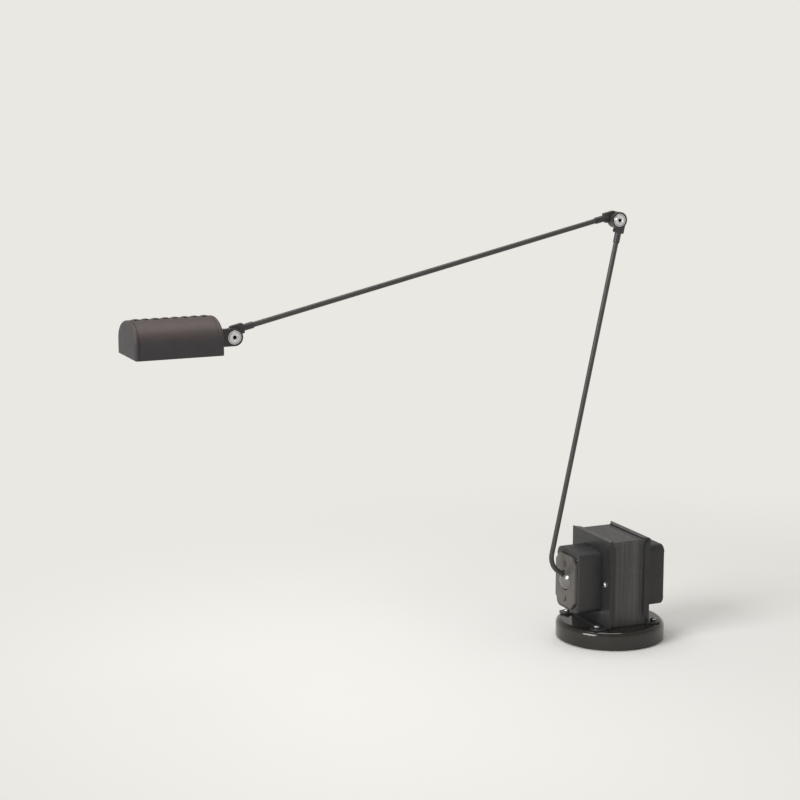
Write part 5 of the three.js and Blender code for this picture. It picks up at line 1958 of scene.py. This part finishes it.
@dataclass
class HeadLug:
    """The strap between the near cap and the head's pivot, with its two screws."""

    hub: float = 8.8 * MM
    ease: float = 0.5 * MM
    screw_bore: float = 1.8 * MM

    def build(self, bench: Bench, joints: ArmJoints, head: Vector) -> None:
        """Makes the lug and its screws.

        Args:
            bench: where pieces are dressed.
            joints: the tools that the joints' hubs are cut with.
            head: the head's pivot.
        """
        low, _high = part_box("head_lug")
        start, end = joints.front
        hub = Stock.bar(Axis.Y, start, end, self.hub, (0.0, 0.0), 72)
        strap = Stock.block((low.x - head.x, start, -self.hub), (0.0, end, self.hub))
        pivot = Stock.bar(Axis.Y, start - MM, end + MM, joints.fitting.bore, (0.0, 0.0), 40)
        stock = hub.join(strap).cut(joints.disc_tool(), pivot).placed(Matrix.Translation(head))
        stock = stock.cut(*shank_bores(Axis.X, self.screw_bore, *LUG_SCREWS))
        piece = stock.released("moulded_lug", soften=self.ease, steps=3, crease=36.0)
        bench.fit(piece, Body.HEAD, Slot.JOINT_BLACK, "head_lug")
        for level in ("low", "high"):
            name = f"lug_screw_{level}"
            low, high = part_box(name)
            middle = middle_of(name)
            screw = PanScrew(2.8 * MM, 1.6 * MM, 1.5 * MM, (high.x - low.x) - 1.6 * MM)
            stock = screw.stock(Axis.X, low.x + screw.head_height, -1.0, (middle.y, middle.z))
            bench.fit(stock.released(f"cross_{name}"), Body.HEAD, Slot.SCREW_STEEL, name)


@dataclass
class LampInsert:
    """What lights up: the polished trough, the ceramic holder, and the capsule bulb."""

    reflector_inset: float = 4.0 * MM
    reflector_sheet: float = 0.8 * MM
    reflector_foot: float = 2.0 * MM
    pinch: float = 6.0 * MM
    stem_half_width: float = 4.2 * MM
    stem_half_thick: float = 1.7 * MM
    pin_spread: float = 3.2 * MM
    pin_radius: float = 0.5 * MM
    coil_turns: int = 9
    coil_radius: float = 0.9 * MM
    coil_length: float = 9.0 * MM
    wire: float = 0.16 * MM

    def reflector(self, hood: Hood) -> Stock:
        """Shapes the trough."""
        low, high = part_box("reflector")
        inset = self.reflector_inset
        bm = bmesh.new()
        outer = hood.section(inset, self.reflector_foot)
        inner = hood.section(inset + self.reflector_sheet, self.reflector_foot)
        rings = []
        for x in (low.x, high.x):
            rings.append([bm.verts.new((x, y, z)) for y, z in [*outer, *reversed(inner)]])
        skin(bm, rings)
        for ring in rings:
            half = len(ring) // 2
            for i in range(half - 1):
                bm.faces.new([ring[i], ring[i + 1], ring[-i - 2], ring[-i - 1]])
        return Stock.of(bm)

    def holder(self) -> Stock:
        """Shapes the ceramic holder with its two sockets."""
        low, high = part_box("lamp_holder")
        middle = middle_of("lamp_holder")
        body = Stock.prism(rounded((low.y, low.z), (high.y, high.z), 2.2 * MM), Axis.X, low.x, high.x)
        sockets = [Stock.bar(Axis.X, low.x - MM, high.x - 2 * MM, 0.9 * MM, (y, middle.z), 20)
                   for y in (-self.pin_spread, self.pin_spread)]
        return body.cut(*sockets)

    def capsule(self) -> Stock:
        """Shapes the bulb's hollow capsule with its pinched stem."""
        low, _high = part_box("bulb")
        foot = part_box("lamp_holder")[0].x - 0.3 * MM
        middle = middle_of("bulb")
        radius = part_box("bulb")[1].y
        shoulder = foot - self.pinch
        outer = [(0.0, low.x)]
        steps = 14
        for i in range(1, steps + 1):
            angle = math.pi / 2 * i / steps
            outer.append((radius * math.sin(angle), low.x + radius * (1 - math.cos(angle))))
        outer += [(radius, shoulder - 2 * MM), (radius * 0.86, shoulder - 0.6 * MM),
                  (radius * 0.62, shoulder), (0.0, shoulder)]
        at = (middle.y, middle.z)
        body = Stock.turned(outer, Axis.X, at, 48)
        stem_shape = rounded((-self.stem_half_width, middle.z - self.stem_half_thick),
                             (self.stem_half_width, middle.z + self.stem_half_thick), 1.2 * MM, 5)
        stem = Stock.prism(stem_shape, Axis.X, shoulder - 1.5 * MM, foot)
        wall = 0.9 * MM
        hollow = [(0.0, low.x + wall)]
        for i in range(1, steps + 1):
            angle = math.pi / 2 * i / steps
            hollow.append(((radius - wall) * math.sin(angle),
                           low.x + wall + (radius - wall) * (1 - math.cos(angle))))
        hollow += [(radius - wall, shoulder - 3.5 * MM), (0.0, shoulder - 2.2 * MM)]
        return body.join(stem).cut(Stock.turned(hollow, Axis.X, at, 48))

    def filament(self) -> Stock:
        """Shapes the coil and the two wires that hold it."""
        low, _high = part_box("bulb")
        middle = middle_of("bulb")
        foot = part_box("lamp_holder")[0].x - 0.3 * MM
        start, end = low.x + 9 * MM, low.x + 9 * MM + self.coil_length
        bm = bmesh.new()
        per_turn = 14
        count = self.coil_turns * per_turn
        path = [Vector((foot - self.pinch - 1 * MM, -self.pin_spread * 0.6, middle.z)),
                Vector((end + 1 * MM, -self.pin_spread * 0.6, middle.z))]
        for i in range(count + 1):
            angle = math.tau * i / per_turn + math.pi
            x = end - (end - start) * i / count
            path.append(Vector((x, self.coil_radius * math.cos(angle),
                                middle.z + self.coil_radius * math.sin(angle))))
        path += [Vector((start - 0.5 * MM, self.pin_spread * 0.6, middle.z)),
                 Vector((foot - self.pinch - 1 * MM, self.pin_spread * 0.6, middle.z))]
        rings = []
        for i, point in enumerate(path):
            along = (path[min(i + 1, len(path) - 1)] - path[max(i - 1, 0)]).normalized()
            across = along.cross(Vector((0.12, 0.31, 0.94))).normalized()
            other = along.cross(across)
            rings.append([bm.verts.new(point + across * a + other * b) for a, b in circle(self.wire, 8)])
        skin(bm, rings)
        bm.faces.new(rings[0])
        bm.faces.new(rings[-1])
        return Stock.of(bm)

    def pins(self) -> Stock:
        """Shapes the bulb's two pins."""
        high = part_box("bulb")[1]
        middle = middle_of("bulb")
        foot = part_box("lamp_holder")[0].x - 0.3 * MM
        pins = [Stock.bar(Axis.X, foot - 4 * MM, high.x, self.pin_radius, (y, middle.z), 16)
                for y in (-self.pin_spread, self.pin_spread)]
        return pins[0].join(pins[1])

    def build(self, bench: Bench, hood: Hood) -> None:
        """Makes the insert.

        Args:
            bench: where pieces are dressed.
            hood: the hood, whose section the trough follows.
        """
        bench.fit(self.reflector(hood).released("polished_trough"), Body.HEAD, Slot.REFLECTOR_METAL,
                  "reflector")
        bench.fit(self.holder().released("ceramic_holder", soften=0.5 * MM, steps=3), Body.HEAD,
                  Slot.CERAMIC, "lamp_holder")
        bench.fit(self.capsule().released("quartz_capsule", crease=60.0), Body.HEAD, Slot.BULB_GLASS, "bulb")
        bench.fit(self.filament().released("bulb_filament", crease=80.0), Body.HEAD, Slot.SCREW_STEEL)
        bench.fit(self.pins().released("bulb_pins"), Body.HEAD, Slot.SCREW_STEEL)


@dataclass
class InnerWorks:
    """The pieces that keep the frame's own shape, all of them behind the rocker plate."""

    plastic: tuple[str, ...] = ("switch_carrier",)
    switches: tuple[str, ...] = ("full_light_switch", "low_light_switch")
    steel: tuple[str, ...] = ("swivel_yoke", "tilt_pin")

    def build(self, bench: Bench) -> None:
        """Dresses the inner pieces."""
        bench.dress(Slot.CREAM_PLASTIC, *self.plastic)
        bench.dress(Slot.COVER_PLASTIC, *self.switches)
        bench.dress(Slot.SCREW_STEEL, *self.steel)
        bench.dress(Slot.BALL_METAL, "ball_housing")


# ------------------------------------------------------------------------------------- studio


@dataclass(frozen=True)
class SoftLight:
    """One square soft light."""

    name: str
    place: tuple[float, float, float]
    aim: tuple[float, float, float]
    size: float
    power: float
    colour: Colour = (1.0, 1.0, 1.0)

    def build(self) -> None:
        """Hangs the light."""
        data = bpy.data.lights.new(self.name, "AREA")
        data.shape = "SQUARE"
        data.size = self.size
        data.energy = self.power
        data.color = self.colour
        light = bpy.data.objects.new(self.name, data)
        light.location = self.place
        aim = Vector(self.aim) - Vector(self.place)
        light.rotation_euler = aim.to_track_quat("-Z", "Y").to_euler()
        bpy.context.scene.collection.objects.link(light)


@dataclass
class Studio:
    """A pale floor that fades into a pale room, soft lights, and the camera."""

    camera_place: tuple[float, float, float] = (-1.08234, -1.86469, 0.66764)
    heading: float = math.radians(23.92)
    tilt: float = math.radians(10.6)
    lens: float = 90.0
    sensor: float = 36.0
    room: Colour = (0.823, 0.807, 0.760)
    ceiling: float = 0.35
    horizon: float = 0.08
    floor_radius: float = 30.0
    fade_from: float = 0.16
    fade_to: float = 0.8

    def camera(self) -> None:
        """Sets up the camera."""
        data = bpy.data.cameras.new("camera")
        data.lens = self.lens
        data.sensor_width = self.sensor
        data.clip_end = 100.0
        camera = bpy.data.objects.new("camera", data)
        camera.location = self.camera_place
        flat = math.cos(self.tilt)
        ahead = Vector((math.sin(self.heading) * flat, math.cos(self.heading) * flat, -math.sin(self.tilt)))
        camera.rotation_euler = ahead.to_track_quat("-Z", "Y").to_euler()
        bpy.context.scene.collection.objects.link(camera)
        bpy.context.scene.camera = camera

    def walls(self) -> None:
        """Lights the room, pale at the horizon and darker overhead."""
        world = bpy.data.worlds.new("room")
        world.use_nodes = True
        tree = world.node_tree
        background = tree.nodes["Background"]
        place = tree.nodes.new("ShaderNodeTexCoord")
        parts = tree.nodes.new("ShaderNodeSeparateXYZ")
        tree.links.new(place.outputs["Generated"], parts.inputs[0])
        height = tree.nodes.new("ShaderNodeMapRange")
        for socket, value in zip(list(height.inputs)[1:5], (0.0, 0.7, 0.0, 1.0)):
            socket.default_value = value
        tree.links.new(parts.outputs["Z"], height.inputs[0])
        ramp = tree.nodes.new("ShaderNodeValToRGB")
        ramp.color_ramp.elements[0].color = (*self.room, 1.0)
        ramp.color_ramp.elements[1].color = (*shade(self.room, self.ceiling), 1.0)
        ramp.color_ramp.elements.new(self.horizon).color = (*self.room, 1.0)
        tree.links.new(height.outputs[0], ramp.inputs[0])
        tree.links.new(ramp.outputs[0], background.inputs["Color"])
        bpy.context.scene.world = world

    def floor(self) -> None:
        """Lays the floor, which fades into the room's own colour far from the lamp."""
        bm = bmesh.new()
        rings = [[bm.verts.new((a, b, 0.0)) for a, b in circle(radius, 96)]
                 for radius in (0.5, self.fade_to, self.floor_radius)]
        bm.faces.new(rings[0])
        skin(bm, rings)
        mesh = bpy.data.meshes.new("floor")
        bmesh.ops.recalc_face_normals(bm, faces=bm.faces)
        bm.to_mesh(mesh)
        bm.free()
        floor = bpy.data.objects.new("floor", mesh)
        floor.location.z = -0.0002
        bpy.context.scene.collection.objects.link(floor)
        material = bpy.data.materials.new("floor")
        material.use_nodes = True
        tree = material.node_tree
        tree.nodes.clear()
        output = tree.nodes.new("ShaderNodeOutputMaterial")
        mix = tree.nodes.new("ShaderNodeMixShader")
        near = tree.nodes.new("ShaderNodeBsdfDiffuse")
        near.inputs["Color"].default_value = (0.80, 0.79, 0.77, 1.0)
        far = tree.nodes.new("ShaderNodeEmission")
        far.inputs["Color"].default_value = (*self.room, 1.0)
        place = tree.nodes.new("ShaderNodeTexCoord")
        length = tree.nodes.new("ShaderNodeVectorMath")
        length.operation = "LENGTH"
        fade = tree.nodes.new("ShaderNodeMapRange")
        fade.interpolation_type = "SMOOTHSTEP"
        for socket, value in zip(list(fade.inputs)[1:5], (self.fade_from, self.fade_to, 0.0, 1.0)):
            socket.default_value = value
        tree.links.new(place.outputs["Object"], length.inputs[0])
        tree.links.new(length.outputs["Value"], fade.inputs[0])
        tree.links.new(fade.outputs[0], mix.inputs[0])
        tree.links.new(near.outputs[0], mix.inputs[1])
        tree.links.new(far.outputs[0], mix.inputs[2])
        tree.links.new(mix.outputs[0], output.inputs["Surface"])
        mesh.materials.append(material)

    def build(self) -> None:
        """Sets up the camera, the room, the floor and the lights."""
        self.camera()
        self.walls()
        self.floor()
        target = (-0.15, 0.0, 0.2)
        for light in (
            SoftLight("key_light", (-1.9, -0.5, 1.1), target, 1.0, 32.0),
            SoftLight("top_light", (-0.1, 0.3, 1.9), target, 1.2, 16.0),
        ):
            light.build()
        bpy.context.scene.view_settings.view_transform = "Standard"


# --------------------------------------------------------------------------------------- main


def main() -> None:
    """Builds the lamp from the floor up."""
    logging.basicConfig(level=logging.INFO, format="%(message)s")
    Studio().build()
    ball = joint_place("arm_tilt")
    elbow = joint_place("elbow_fold")
    head = joint_place("head_tilt")
    bench = Bench(Finishes({"elbow": (elbow.x, elbow.z), "head": (head.x, head.z)}))

    Weight().build(bench)
    Core().build(bench)
    EndFrame("end_frame_switch_side", -1).build(bench)
    EndFrame("end_frame_mains_side", 1).build(bench)
    BaseFasteners().build(bench)

    rocker, gland, lower = Rocker(), CordGland(), LowerArm()
    WindingCover("switch_cover", -1).build(bench, rocker.window())
    WindingCover("mains_cover", 1).build(bench, gland.tool())
    gland.build(bench)
    rocker.build(bench, ball, lower.ball_radius)
    InnerWorks().build(bench)

    joints = ArmJoints()
    lower.build(bench, ball, elbow)
    joints.build(bench, elbow, head)

    hood = Hood()
    hood.build(bench)
    HeadLug().build(bench, joints, head)
    LampInsert().build(bench, hood)


if __name__ == "__main__":
    main()
